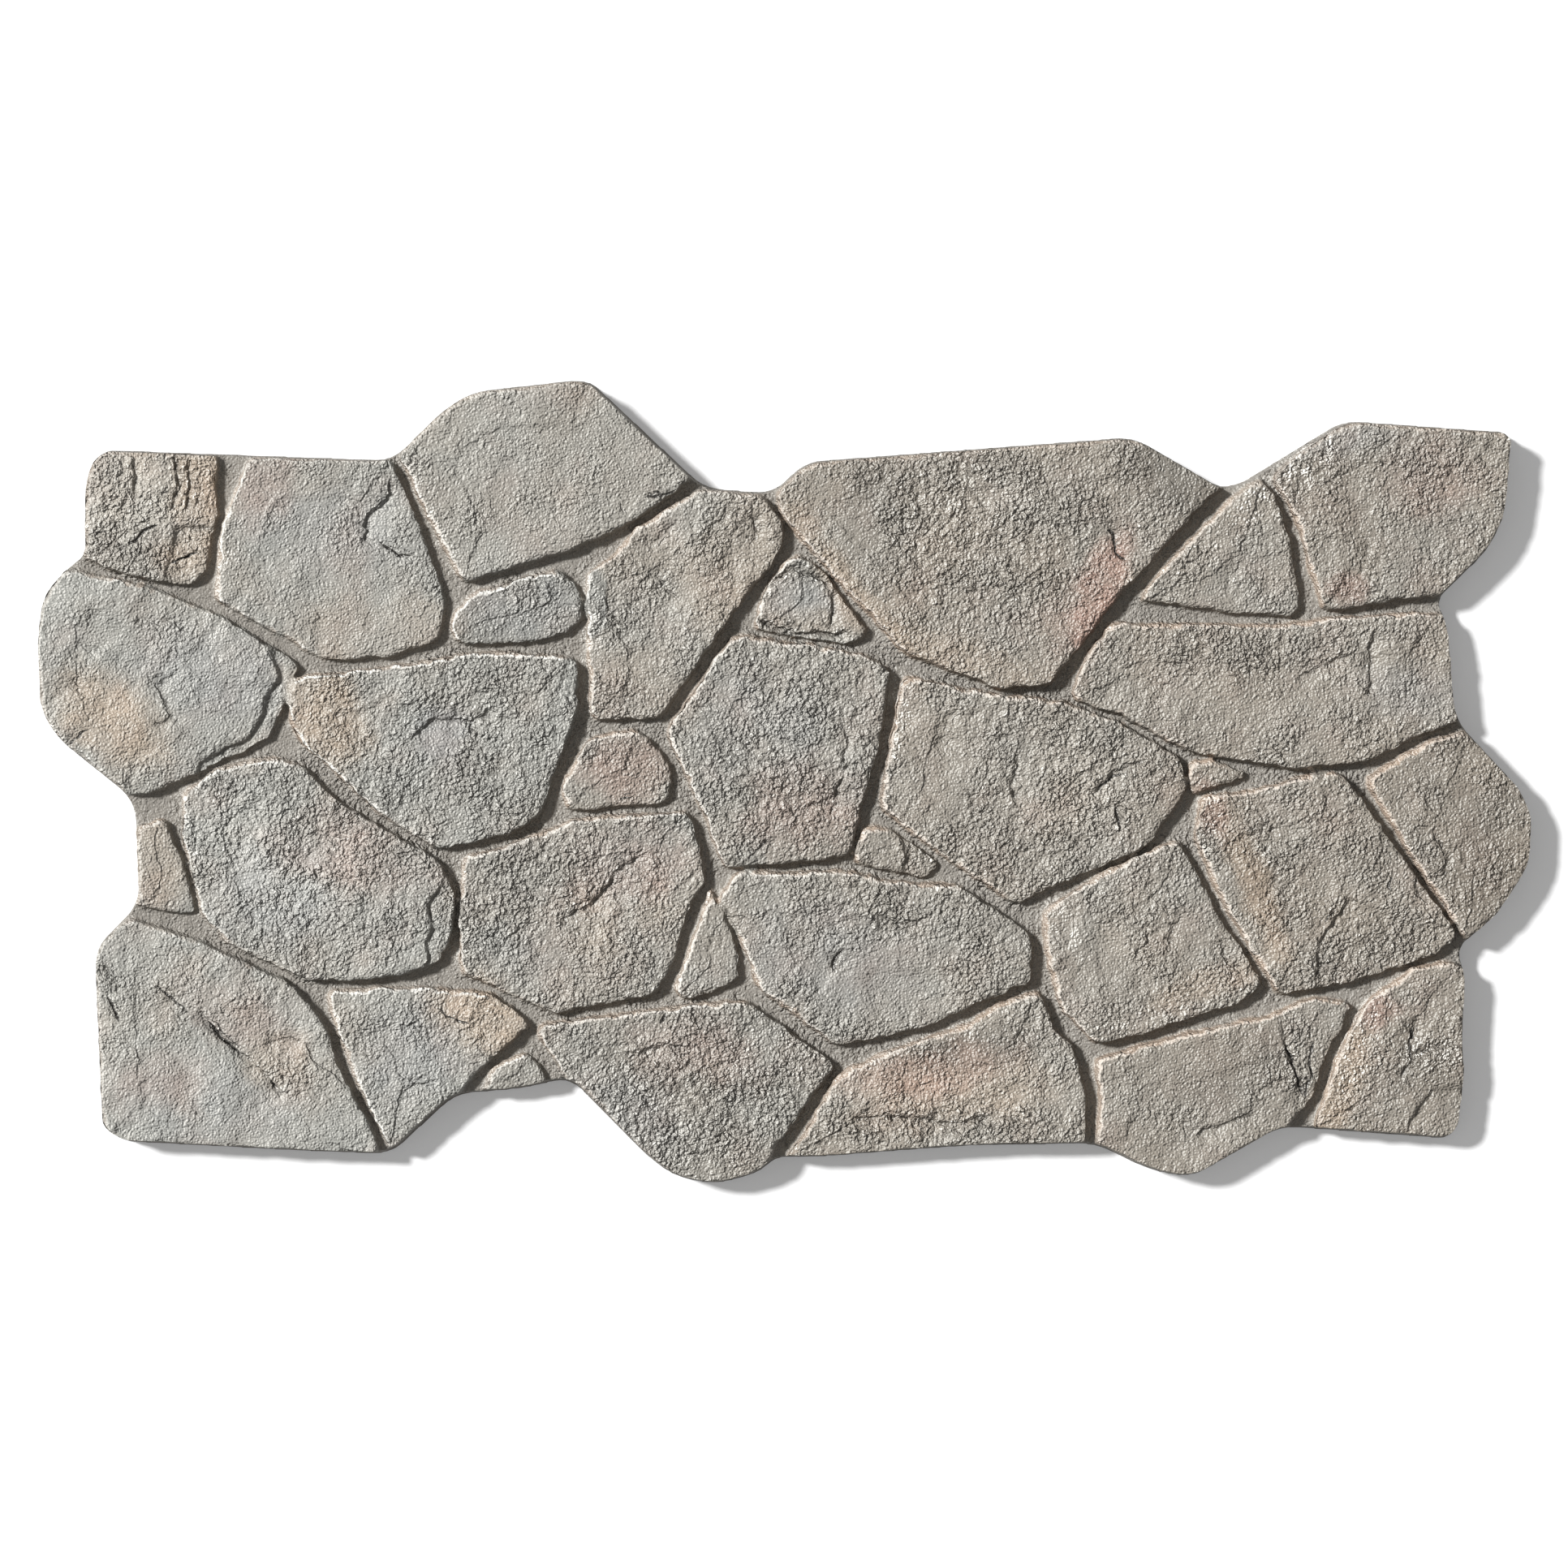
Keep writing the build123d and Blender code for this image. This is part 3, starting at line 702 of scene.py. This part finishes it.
class Plan:
    """The board from above, in square cells: which stone each is on, and how far from its edge."""

    def __init__(self, points):
        margin = PLAN_MARGIN * CELL
        self.low_x, self.low_y = points[:, 0].min() - margin, points[:, 1].min() - margin
        columns = int((points[:, 0].max() - self.low_x) / CELL) + PLAN_MARGIN + 1
        rows = int((points[:, 1].max() - self.low_y) / CELL) + PLAN_MARGIN + 1
        height = np.full((columns, rows), -1.0)
        column, row = self.cells(points[:, 0], points[:, 1])
        np.maximum.at(height, (column, row), points[:, 2])
        covered = height >= 0
        self.joint_level = np.percentile(height[covered], LOWEST_PERCENT)
        raised = height > self.joint_level + STONE_LIFT
        self.labels = self.stones(raised)
        self.from_joint = smoothed(depth_inside(raised, DEEPEST))
        self.from_rim = depth_inside(covered, DEEPEST)

    def stones(self, raised):
        """The number of each cell's stone. A joint's cells get the nearest stone's number."""
        labels = np.full(raised.shape, -1)
        for index, finish in enumerate(FINISHES):
            labels[self.cells(*np.array((finish.x, finish.y), float))] = index
        well_inside = depth_inside(raised, SAFE_CELLS) > (SAFE_CELLS - 1) * CELL
        labels = spread(labels, well_inside, STONE_CELLS)
        labels = spread(labels, raised, EDGE_CELLS)
        return spread(labels, np.ones(raised.shape, bool), JOINT_CELLS)

    def cells(self, x, y):
        return ((x - self.low_x) / CELL).astype(int), ((y - self.low_y) / CELL).astype(int)

    def read(self, values, x, y):
        """The values at the points, blended between the middles of the cells."""
        u, v = (x - self.low_x) / CELL - 0.5, (y - self.low_y) / CELL - 0.5
        column, row = np.floor(u).astype(int), np.floor(v).astype(int)
        u, v = u - column, v - row
        lower = values[column, row] * (1 - u) + values[column + 1, row] * u
        upper = values[column, row + 1] * (1 - u) + values[column + 1, row + 1] * u
        return lower * (1 - v) + upper * v

    def uphill(self, values, x, y):
        """The way in which the values grow at the points, in X and Y, with a length of 1."""
        slope_x = self.read(values, x + CELL, y) - self.read(values, x - CELL, y)
        slope_y = self.read(values, x, y + CELL) - self.read(values, x, y - CELL)
        steepness = np.maximum(np.hypot(slope_x, slope_y), LEAST_SLOPE)
        return slope_x / steepness, slope_y / steepness

    def lit(self, x, y):
        """How squarely the stone's nearest edge faces the lamp, seen from above: from -1 to 1."""
        inward_x, inward_y = self.uphill(self.from_joint, x, y)
        turn = math.radians(SUN_TURN)
        return -(inward_x * math.cos(turn) + inward_y * math.sin(turn))

    def on_stone(self, z):
        """0 in the joints, 1 on the stones."""
        return rising(z - self.joint_level, FOOT, SHOULDER)

    def finish(self, name, x, y):
        """One value of the finish of the stone that each point is on."""
        values = np.array([getattr(finish, name) for finish in FINISHES])
        return values[self.labels[self.cells(x, y)]]


def placed(name, data):
    """A new object in the scene."""
    thing = bpy.data.objects.new(name, data)
    bpy.context.collection.objects.link(thing)
    return thing


def remeshed_board():
    """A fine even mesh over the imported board, in one closed piece."""
    work = bmesh.new()
    work.from_mesh(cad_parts["wall_panel"].data)
    bmesh.ops.remove_doubles(work, verts=work.verts, dist=WELD * MM)
    coarse = bpy.data.meshes.new("board_outline")
    work.to_mesh(coarse)
    work.free()
    board = placed("stone_panel", coarse)
    remesh = board.modifiers.new("even", "REMESH")
    remesh.mode = "VOXEL"
    remesh.voxel_size = VOXEL * MM * 1
    bake_modifiers(board)
    return board


def bake_modifiers(board):
    """Makes the modifiers' result the object's own mesh."""
    result = bpy.data.meshes.new_from_object(board.evaluated_get(bpy.context.evaluated_depsgraph_get()))
    board.modifiers.clear()
    board.data = result


def read_points(mesh):
    """The vertices' places, in millimetres, and their normals."""
    points = np.empty(len(mesh.vertices) * 3, np.float32)
    mesh.vertices.foreach_get("co", points)
    normals = np.empty(len(mesh.vertices) * 3, np.float32)
    mesh.vertex_normals.foreach_get("vector", normals)
    return points.reshape(-1, 3).astype(float) / MM, normals.reshape(-1, 3).astype(float)


def move_points(mesh, points):
    mesh.vertices.foreach_set("co", (points * MM).astype(np.float32).ravel())
    mesh.update()


def crustiness(plan, x, y):
    """How coarse the crust is at each point, from 0 to 1."""
    coarse = plan.finish("crust", x, y) - 1 + patch_amount(CRUSTS, x, y) + rough(CRUST_DRIFT, x, y)
    return eased(CRUST_SHARE + CRUST_GAIN * coarse)


def stone_face_relief(plan, x, y, crusty):
    """Height of the broken stone above its plain face."""
    own_place = plan.labels[plan.cells(x, y)] * OWN_PLACE
    own_x, own_y = x + own_place, y - own_place
    swell = rough(SWELL, own_x, own_y)
    field = rough(LAYERS, own_x * LAYER_STRETCH, own_y)
    step = np.floor(field)
    lip = rising(field - step, 1 - LAYER_LIP, 1)
    layers = LAYER * plan.finish("layers", x, y) * (step + lip)
    rubble = lumps(LARGE_LUMPS, x, y) + lumps(SMALL_LUMPS, x, y)
    return swell + layers + CRUST * crusty * (rubble - LUMP_MEAN)


def ragged(x, y):
    """The points moved about, so that what is drawn along a path comes out ragged."""
    ragged_x = sum((rough(kind, x, y) for kind in RAGGED_X), x)
    ragged_y = sum((rough(kind, x, y) for kind in RAGGED_Y), y)
    return ragged_x, ragged_y


def worn_edge(plan, x, y):
    """Stones are lower near their edges, and bits are broken out of them."""
    from_joint = plan.read(plan.from_joint, x, y)
    rounding = ROUNDING * falling(from_joint, ROUNDING_REACH) ** 2
    bites = BITE_DEPTH * np.clip(rough(BITES, x, y) - BITE_LEAST, 0, 1)
    return -rounding - bites * falling(from_joint, BITE_REACH)


def sideways(plan, points):
    """Sideways moves that make the joints' edges ragged and wear the rim back a little."""
    x, y, z = points.T
    off_the_back = rising(z, 0, BACK_REACH)
    from_rim = plan.read(plan.from_rim, x, y)
    inland = rising(from_rim, STRAY_START, STRAY_FULL) * off_the_back
    moved_x = sum(rough(kind, x, y) for kind in STRAY_X)
    moved_y = sum(rough(kind, x, y) for kind in STRAY_Y)
    inward_x, inward_y = plan.uphill(plan.from_rim, x, y)
    wear = RIM_WEAR * (WEAR_MEAN + rough(WEAR, x + WEAR_SLANT * z, y - WEAR_SLANT * z)) * off_the_back
    wear = np.clip(wear, 0, RIM_WEAR) * (1 - rising(from_rim, 0, WEAR_REACH))
    return moved_x * inland + wear * inward_x, moved_y * inland + wear * inward_y


def sculpted(plan, points, normals, crusty):
    """The vertices' places with all the relief."""
    x, y, z = points.T
    facing = normals[:, 2]
    on_stone = plan.on_stone(z)
    up = rising(facing, TURNS_UP, FACES_UP)
    ragged_x, ragged_y = ragged(x, y)
    relief = stone_face_relief(plan, x, y, crusty)
    relief = relief + ledge_relief(ragged_x, ragged_y) + crack_relief(ragged_x, ragged_y)
    relief = relief + worn_edge(plan, x, y) - SINKING
    mortar = rough(MORTAR, x, y) + rough(MORTAR_GRIT, x, y)
    lift = up * (relief * on_stone + mortar * (1 - on_stone))
    side = SIDE_LUMPS * (rough(SIDES, x + SIDE_SLANT * z, y - SIDE_SLANT * z) - SIDE_SINKING)
    side *= (1 - up) * rising(z, 0, SIDE_FOOT) * rising(facing, TURNS_DOWN, UPRIGHT)
    moved_x, moved_y = sideways(plan, points)

    made = points + normals * side[:, None] * [1, 1, 0]
    made[:, 0] += moved_x
    made[:, 1] += moved_y
    made[:, 2] = pressed_under_top(made[:, 2] + lift)
    made[facing < LEVEL_BACK, 2] = 0
    return made


def pressed_under_top(z):
    """The heights, with those near the board's own height pressed together below it."""
    top = cad_box[1][2] / MM - HEADROOM
    over = np.maximum(z - (top - SQUEEZE), 0)
    return np.minimum(z, top - SQUEEZE * np.exp(-over / SQUEEZE))


def standing_out(mesh):
    """How far each vertex stands out of its surroundings, in millimetres: more than 0 on a ridge."""
    points, normals = read_points(mesh)
    edges = np.empty(len(mesh.edges) * 2, np.int32)
    mesh.edges.foreach_get("vertices", edges)
    first, second = edges.reshape(-1, 2).T
    count = np.bincount(first, minlength=len(points)) + np.bincount(second, minlength=len(points))

    def around(values):
        total = np.bincount(first, values[second], len(points))
        total = total + np.bincount(second, values[first], len(points))
        return total / count

    smooth = points.copy()
    for _ in range(SMOOTHINGS):
        for axis in range(3):
            smooth[:, axis] = around(smooth[:, axis])
    out = ((points - smooth) * normals).sum(axis=1)
    return (out + around(out)) / 2


def store(mesh, **masks):
    """Keeps a number of each name for each vertex, for the paint to read."""
    for name, values in masks.items():
        layer = mesh.attributes.new(name, "FLOAT", "POINT")
        layer.data.foreach_set("value", np.asarray(values, np.float32))


def store_form(mesh, plan, points, crusty):
    """Keeps where the crests, joints and arrises are."""
    x, y, z = points.T
    out = standing_out(mesh)
    # The hollows on the stones get painted shade
    hollow = np.clip(-out / HOLLOW, 0, 1) * plan.on_stone(z)
    store(mesh, crest=np.clip(out / CREST, 0, 1), hollow=hollow, crusty=crusty)
    store(mesh, joint=1 - rising(z - plan.joint_level, WETTED, DRY))
    inner = rising(plan.read(plan.from_rim, x, y), RIM_BAND, 2 * RIM_BAND)
    store(mesh, arris=RIM_ARRIS + (1 - RIM_ARRIS) * inner)
    store(mesh, inward=plan.read(plan.from_joint, x, y), lit=plan.lit(x, y))


def store_lines(mesh, x, y):
    """Keeps where the ledges and cracks are, so that the paint can draw them sharply."""
    place = ragged(x, y)
    side, drop = nearest_line([(ledge.path, ledge.drop) for ledge in LEDGES], *place)
    store(mesh, ledge_side=side, ledge_drop=drop)
    side, half = nearest_line([(crack.path, crack.width / 2) for crack in CRACKS], *place)
    store(mesh, crack_side=side, crack_half=half)


def store_washes(mesh, plan, x, y):
    """Keeps how much of each wash of paint there is."""
    shade = 1 + patch_amount(SHADES, x, y) + rough(SHADE_DRIFT, x, y)
    cloud = CLOUD_MEAN + rough(CLOUDS, x, y)
    tan = np.clip(patch_amount(TANS, x, y) + rough(TAN_DRIFT, x, y), 0, 1)
    pink = np.clip(patch_amount(PINKS, x, y) + rough(PINK_DRIFT, x, y), 0, 1)
    blue = np.clip(patch_amount(BLUES, x, y) * (1 + rough(BLUE_DRIFT, x, y)), 0, 1)
    store(mesh, warmth=plan.finish("warmth", x, y) + rough(WARMTH_DRIFT, x, y))
    store(mesh, light=plan.finish("light", x, y) * shade)
    store(mesh, tan=cloud * tan, pink=cloud * pink, blue=blue)
    store(mesh, chalk=np.clip(patch_amount(CHALKS, x, y), 0, 1))


def thin_out(board):
    """Brings the mesh under the limit of triangles, and keeps it closed."""
    triangles = sum(len(polygon.vertices) - 2 for polygon in board.data.polygons)
    thin = board.modifiers.new("thin", "DECIMATE")
    thin.ratio = min(1, MOST_TRIANGLES / triangles)
    bake_modifiers(board)


def flatten_back(mesh):
    """Puts the back's vertices exactly on the wall's plane, which the thinning has moved them off."""
    points, _ = read_points(mesh)
    points[points[:, 2] < BACK_PLAY, 2] = 0
    move_points(mesh, points)


def weathered_panel():
    """The whole panel: the remeshed board with its relief, thinned, with the masks that its paint needs."""
    board = remeshed_board()
    points, normals = read_points(board.data)
    x, y, _ = points.T
    plan = Plan(points)
    crusty = crustiness(plan, x, y)
    move_points(board.data, sculpted(plan, points, normals, crusty))
    store_form(board.data, plan, points, crusty)
    store_lines(board.data, x, y)
    store_washes(board.data, plan, x, y)
    thin_out(board)
    flatten_back(board.data)
    for polygon in board.data.polygons:
        polygon.use_smooth = polygon.normal.z > BACK_FACING
    board.data.set_sharp_from_angle(angle=math.radians(SHARP_ANGLE))
    return board


class Paint:
    """Short ways to add nodes to a material. A value is a number, a colour or another node's output."""

    def __init__(self, name):
        self.material = bpy.data.materials.new(name)
        self.material.use_nodes = True
        self.tree = self.material.node_tree
        self.shader = self.tree.nodes["Principled BSDF"]
        self.place = self.add("ShaderNodeTexCoord").outputs["Object"]

    def add(self, kind, **settings):
        node = self.tree.nodes.new(kind)
        for key, value in settings.items():
            setattr(node, key, value)
        return node

    def link(self, value, socket):
        if isinstance(value, bpy.types.NodeSocket):
            self.tree.links.new(value, socket)
        else:
            socket.default_value = value

    def mask(self, name):
        """A number that the mesh keeps for each vertex."""
        return self.add("ShaderNodeAttribute", attribute_name=name).outputs["Fac"]

    def maths(self, kind, *values, clamp=False):
        node = self.add("ShaderNodeMath", operation=kind, use_clamp=clamp)
        for value, socket in zip(values, node.inputs):
            self.link(value, socket)
        return node.outputs[0]

    def plus(self, first, second):
        return self.maths("ADD", first, second)

    def minus(self, first, second):
        return self.maths("SUBTRACT", first, second)

    def times(self, first, second):
        return self.maths("MULTIPLY", first, second)

    def scaled(self, value, factor, offset):
        """The value times the factor, plus the offset."""
        return self.maths("MULTIPLY_ADD", value, factor, offset)

    def noise(self, texture):
        """Noise from 0 to 1 with lumps of the texture's size."""
        node = self.add("ShaderNodeTexNoise")
        self.link(self.place, node.inputs["Vector"])
        self.link(1 / (texture.size * MM), node.inputs["Scale"])
        self.link(texture.detail, node.inputs["Detail"])
        self.link(texture.roughness, node.inputs["Roughness"])
        return node.outputs["Fac"]

    def pebbles(self):
        """Distance from the nearest of many scattered points, in pebbles."""
        node = self.add("ShaderNodeTexVoronoi", feature="SMOOTH_F1")
        self.link(self.place, node.inputs["Vector"])
        self.link(1 / (PEBBLE_SIZE * MM), node.inputs["Scale"])
        self.link(PEBBLE_BLEND, node.inputs["Smoothness"])
        return node.outputs["Distance"]

    def fade(self, value, over):
        """0 where the value hasn't come to the range's start, 1 from its full end on."""
        node = self.add("ShaderNodeMapRange", interpolation_type="SMOOTHSTEP")
        self.link(value, node.inputs["Value"])
        self.link(over.start, node.inputs["From Min"])
        self.link(over.full, node.inputs["From Max"])
        return node.outputs["Result"]

    def mix(self, share, first, second):
        """The first colour, with that share of the second."""
        node = self.add("ShaderNodeMix", data_type="RGBA")
        self.link(share, node.inputs[MIX_SHARE])
        self.link(first, node.inputs[MIX_FIRST])
        self.link(second, node.inputs[MIX_SECOND])
        return node.outputs[MIX_RESULT]


class StonePaint(Paint):
    """Thin paint on moulded stone: washes, chalk over the crests, and painted shade and painted highlight
    that follow the sun.
    """

    def __init__(self):
        super().__init__("brushed_stone_paint")
        self.grain = self.noise(GRAIN)
        self.flow = self.noise(FLOW)
        self.wander = self.scaled(self.noise(LINE_WANDER), WANDER, -WANDER / 2)
        self.joint = self.mask("joint")
        self.cracks = self.crack_mask()
        self.lit = self.fade(self.mask("lit"), LIT)
        self.inward = self.from_joint()
        self.back = self.back_mask()
        self.bumpy = self.bump()
        self.facing = self.painted_light_facing()

    def crack_mask(self):
        side = self.scaled(self.wander, CRACK_WANDER, self.mask("crack_side"))
        gap = self.minus(self.maths("ABSOLUTE", side), self.mask("crack_half"))
        return self.fade(gap, CRACK_LIP)

    def from_joint(self):
        """How far inside the stone's foot a place lies, along a wandering line."""
        inward = self.plus(self.mask("inward"), self.wander)
        return self.plus(inward, self.scaled(self.flow, FLOW_WANDER, -FLOW_WANDER / 2))

    def back_mask(self):
        turned = self.add("ShaderNodeSeparateXYZ")
        self.link(self.add("ShaderNodeTexCoord").outputs["Normal"], turned.inputs[0])
        return self.fade(turned.outputs["Z"], ON_THE_BACK)

    def grain_height(self):
        """Grain, pebbles and thin layers, in millimetres."""
        crusty = self.mask("crusty")
        patchy = self.scaled(self.fade(self.flow, CALM_TO_ROUGH), FLOW_GRAIN, LEAST_GRAIN)
        height = self.times(self.grain, self.scaled(crusty, *GRAIN_HEIGHT))
        height = self.minus(height, self.times(self.pebbles(), self.scaled(crusty, *PEBBLE_HEIGHT)))
        height = self.times(height, patchy)
        height = self.scaled(self.noise(FINE), FINE_HEIGHT, height)
        climb = self.times(self.flow, THIN_LAYERS)
        step = self.maths("FRACT", climb)
        layers = self.plus(self.minus(climb, step), self.fade(step, THIN_LIP))
        return self.scaled(layers, THIN_LAYER, height)

    def line_height(self):
        """What the lips of ledges, cracks and lit arrises add to the height, in millimetres."""
        side = self.plus(self.mask("ledge_side"), self.wander)
        fallen = self.times(self.fade(side, LEDGE_LIP), self.mask("ledge_drop"))
        fallen = self.scaled(self.cracks, CRACK_DEPTH, fallen)
        shelf = self.times(self.fade(self.inward, SHELF_RISE), self.lit)
        return self.minus(self.times(shelf, SHELF), fallen)

    def bump(self):
        calm = self.times(self.scaled(self.joint, -JOINT_CALM, 1.0), self.minus(1.0, self.back))
        bump = self.add("ShaderNodeBump")
        self.link(1.0, bump.inputs["Strength"])
        self.link(MM, bump.inputs["Distance"])
        height = self.times(self.plus(self.grain_height(), self.line_height()), calm)
        self.link(height, bump.inputs["Height"])
        return bump.outputs["Normal"]

    def painted_light_facing(self):
        """How squarely the bumpy surface faces the sun, for the painted shade and painted highlight that
        follow the light.
        """
        facing = self.add("ShaderNodeVectorMath", operation="DOT_PRODUCT")
        self.link(self.bumpy, facing.inputs[0])
        self.link(towards_sun(), facing.inputs[1])
        return facing.outputs["Value"]

    def washed(self):
        """The stones' own colours and the bare joints, with painted light on the sides that face the light.
        """
        warmth = self.mask("warmth")
        colour = self.mix(warmth, COOL, WARM)
        colour = self.mix(self.times(self.mask("blue"), BLUE_SHARE), colour, BLUE)
        colour = self.mix(self.mask("tan"), colour, TAN)
        colour = self.mix(self.mask("pink"), colour, PINK)
        shaded = self.add("ShaderNodeVectorMath", operation="SCALE")
        self.link(colour, shaded.inputs[0])
        self.link(self.mask("light"), shaded.inputs["Scale"])
        # Painted light: the sides that face the light get a lighter, warmer colour
        slope = self.times(self.fade(self.inward, SLOPE_END), self.lit)
        slope = self.maths("MULTIPLY", slope, self.scaled(warmth, SLOPE_WARMTH, SLOPE_SHARE), clamp=True)
        colour = self.mix(self.times(slope, self.mask("arris")), shaded.outputs[0], LIT_SLOPE_PAINTED_LIGHT)
        return self.mix(self.joint, colour, JOINT)

    def with_painted_shade(self, colour):
        """Painted shade in the hollows and cracks and on what faces away from the sun."""
        away = self.times(self.fade(self.facing, TURNED_AWAY), PAINTED_SHADE_AWAY)
        hollow = self.times(self.fade(self.mask("hollow"), IN_A_HOLLOW), PAINTED_SHADE_IN_HOLLOWS)
        colour = self.mix(away, colour, PAINTED_SHADE)
        colour = self.mix(self.times(self.cracks, PAINTED_SHADE_IN_CRACKS), colour, PAINTED_SHADE)
        return self.mix(hollow, colour, PAINTED_SHADE)

    def with_chalk_and_painted_highlight(self, colour):
        """Chalk over the crests and brush marks, drawn only where the bumpy surface faces the sun: partly
        chalk, partly painted highlight.
        """
        streaks = self.times(self.mask("chalk"), self.fade(self.noise(BRUSH_MARKS), MARKED))
        highlit = self.fade(self.scaled(streaks, CHALK_REACH, self.facing), FACES_SUN_FOR_HIGHLIGHT)
        ridge = self.plus(self.mask("crest"), self.scaled(self.grain, RIDGE_GRAIN, -RIDGE_GRAIN / 2))
        chalky = self.scaled(streaks, CHALK_MARKED, CHALK_PLAIN)
        chalky = self.maths("MAXIMUM", chalky, self.fade(ridge, ON_A_RIDGE), clamp=True)
        chalky = self.times(chalky, self.scaled(self.joint, -JOINT_CHALK, 1.0))
        return self.mix(self.times(chalky, highlit), colour, CHALK_AND_HIGHLIGHT)

    def with_painted_arris_highlight(self, colour):
        """Painted highlight: a broken chalk-pale line along the arrises that face the light."""
        from_arris = self.maths("ABSOLUTE", self.minus(self.inward, ARRIS_INSIDE))
        arris = self.times(self.fade(from_arris, ARRIS_WIDTH), self.lit)
        arris = self.times(arris, self.fade(self.flow, ARRIS_BREAKS))
        arris = self.times(arris, self.mask("arris"))
        return self.mix(arris, colour, self.mix(self.mask("warmth"), CHALK_AND_HIGHLIGHT, WARM_HIGHLIGHT))

    def finished(self):
        foam = self.mix(self.fade(self.noise(PORES), PORE_WALLS), FOAM_PORES, BARE_FOAM)
        colour = self.with_painted_arris_highlight(self.with_chalk_and_painted_highlight(self.with_painted_shade(self.washed())))
        self.link(self.mix(self.back, colour, foam), self.shader.inputs["Base Color"])
        self.link(self.bumpy, self.shader.inputs["Normal"])
        self.link(ROUGHNESS, self.shader.inputs["Roughness"])
        self.link(SHINE, self.shader.inputs["Specular IOR Level"])
        return self.material


def floor_paint():
    """Matt floor that the camera sees as white, with the panel's shadow on it."""
    paint = Paint("pale_floor")
    paint.link(FLOOR_COLOUR, paint.shader.inputs["Base Color"])
    paint.link(FLOOR_ROUGHNESS, paint.shader.inputs["Roughness"])
    seen = paint.add("ShaderNodeLightPath")
    rays = paint.maths("MAXIMUM", seen.outputs["Is Camera Ray"], seen.outputs["Is Glossy Ray"])
    rays = paint.maths("MAXIMUM", rays, seen.outputs["Is Transmission Ray"])
    paint.link(WHITE, paint.shader.inputs["Emission Color"])
    paint.link(paint.times(rays, FLOOR_GLOW), paint.shader.inputs["Emission Strength"])
    return paint.material


def lay_floor():
    far, level = FLOOR_REACH * MM, FLOOR_LEVEL * MM
    sheet = bpy.data.meshes.new("floor")
    corners = [(-far, -far, level), (far, -far, level), (far, far, level), (-far, far, level)]
    sheet.from_pydata(corners, [], [(0, 1, 2, 3)])
    floor = placed("floor", sheet)
    floor.data.materials.append(floor_paint())


def towards_sun():
    turn, height = math.radians(SUN_TURN), math.radians(SUN_HEIGHT)
    return Vector((math.cos(turn) * math.cos(height), math.sin(turn) * math.cos(height), math.sin(height)))


def light_it():
    sun = bpy.data.lights.new("key", "SUN")
    sun.energy = SUN_STRENGTH
    sun.angle = math.radians(SUN_SOFTNESS)
    lamp = placed("key", sun)
    lamp.rotation_mode = "QUATERNION"
    lamp.rotation_quaternion = towards_sun().to_track_quat("Z", "Y")
    world = bpy.data.worlds.new("studio")
    world.use_nodes = True
    world.node_tree.nodes["Background"].inputs["Color"].default_value = WHITE
    world.node_tree.nodes["Background"].inputs["Strength"].default_value = SKY_STRENGTH
    bpy.context.scene.world = world


def set_camera():
    """Square above the panel, as the photograph looks at it, from far off."""
    above_face = PHOTO_WIDTH * MM * LENS / SENSOR
    eye = bpy.data.cameras.new("camera")
    eye.lens = LENS
    eye.sensor_width = SENSOR
    eye.clip_end = SIGHT * MM
    camera = placed("camera", eye)
    camera.location = (PHOTO_MIDDLE[0] * MM, PHOTO_MIDDLE[1] * MM, cad_box[1][2] + above_face)
    bpy.context.scene.camera = camera


bpy.context.scene.view_settings.view_transform = "Standard"
panel = weathered_panel()
panel.data.materials.clear()
panel.data.materials.append(StonePaint().finished())
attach(panel, "root")
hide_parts("wall_panel")
lay_floor()
light_it()
set_camera()
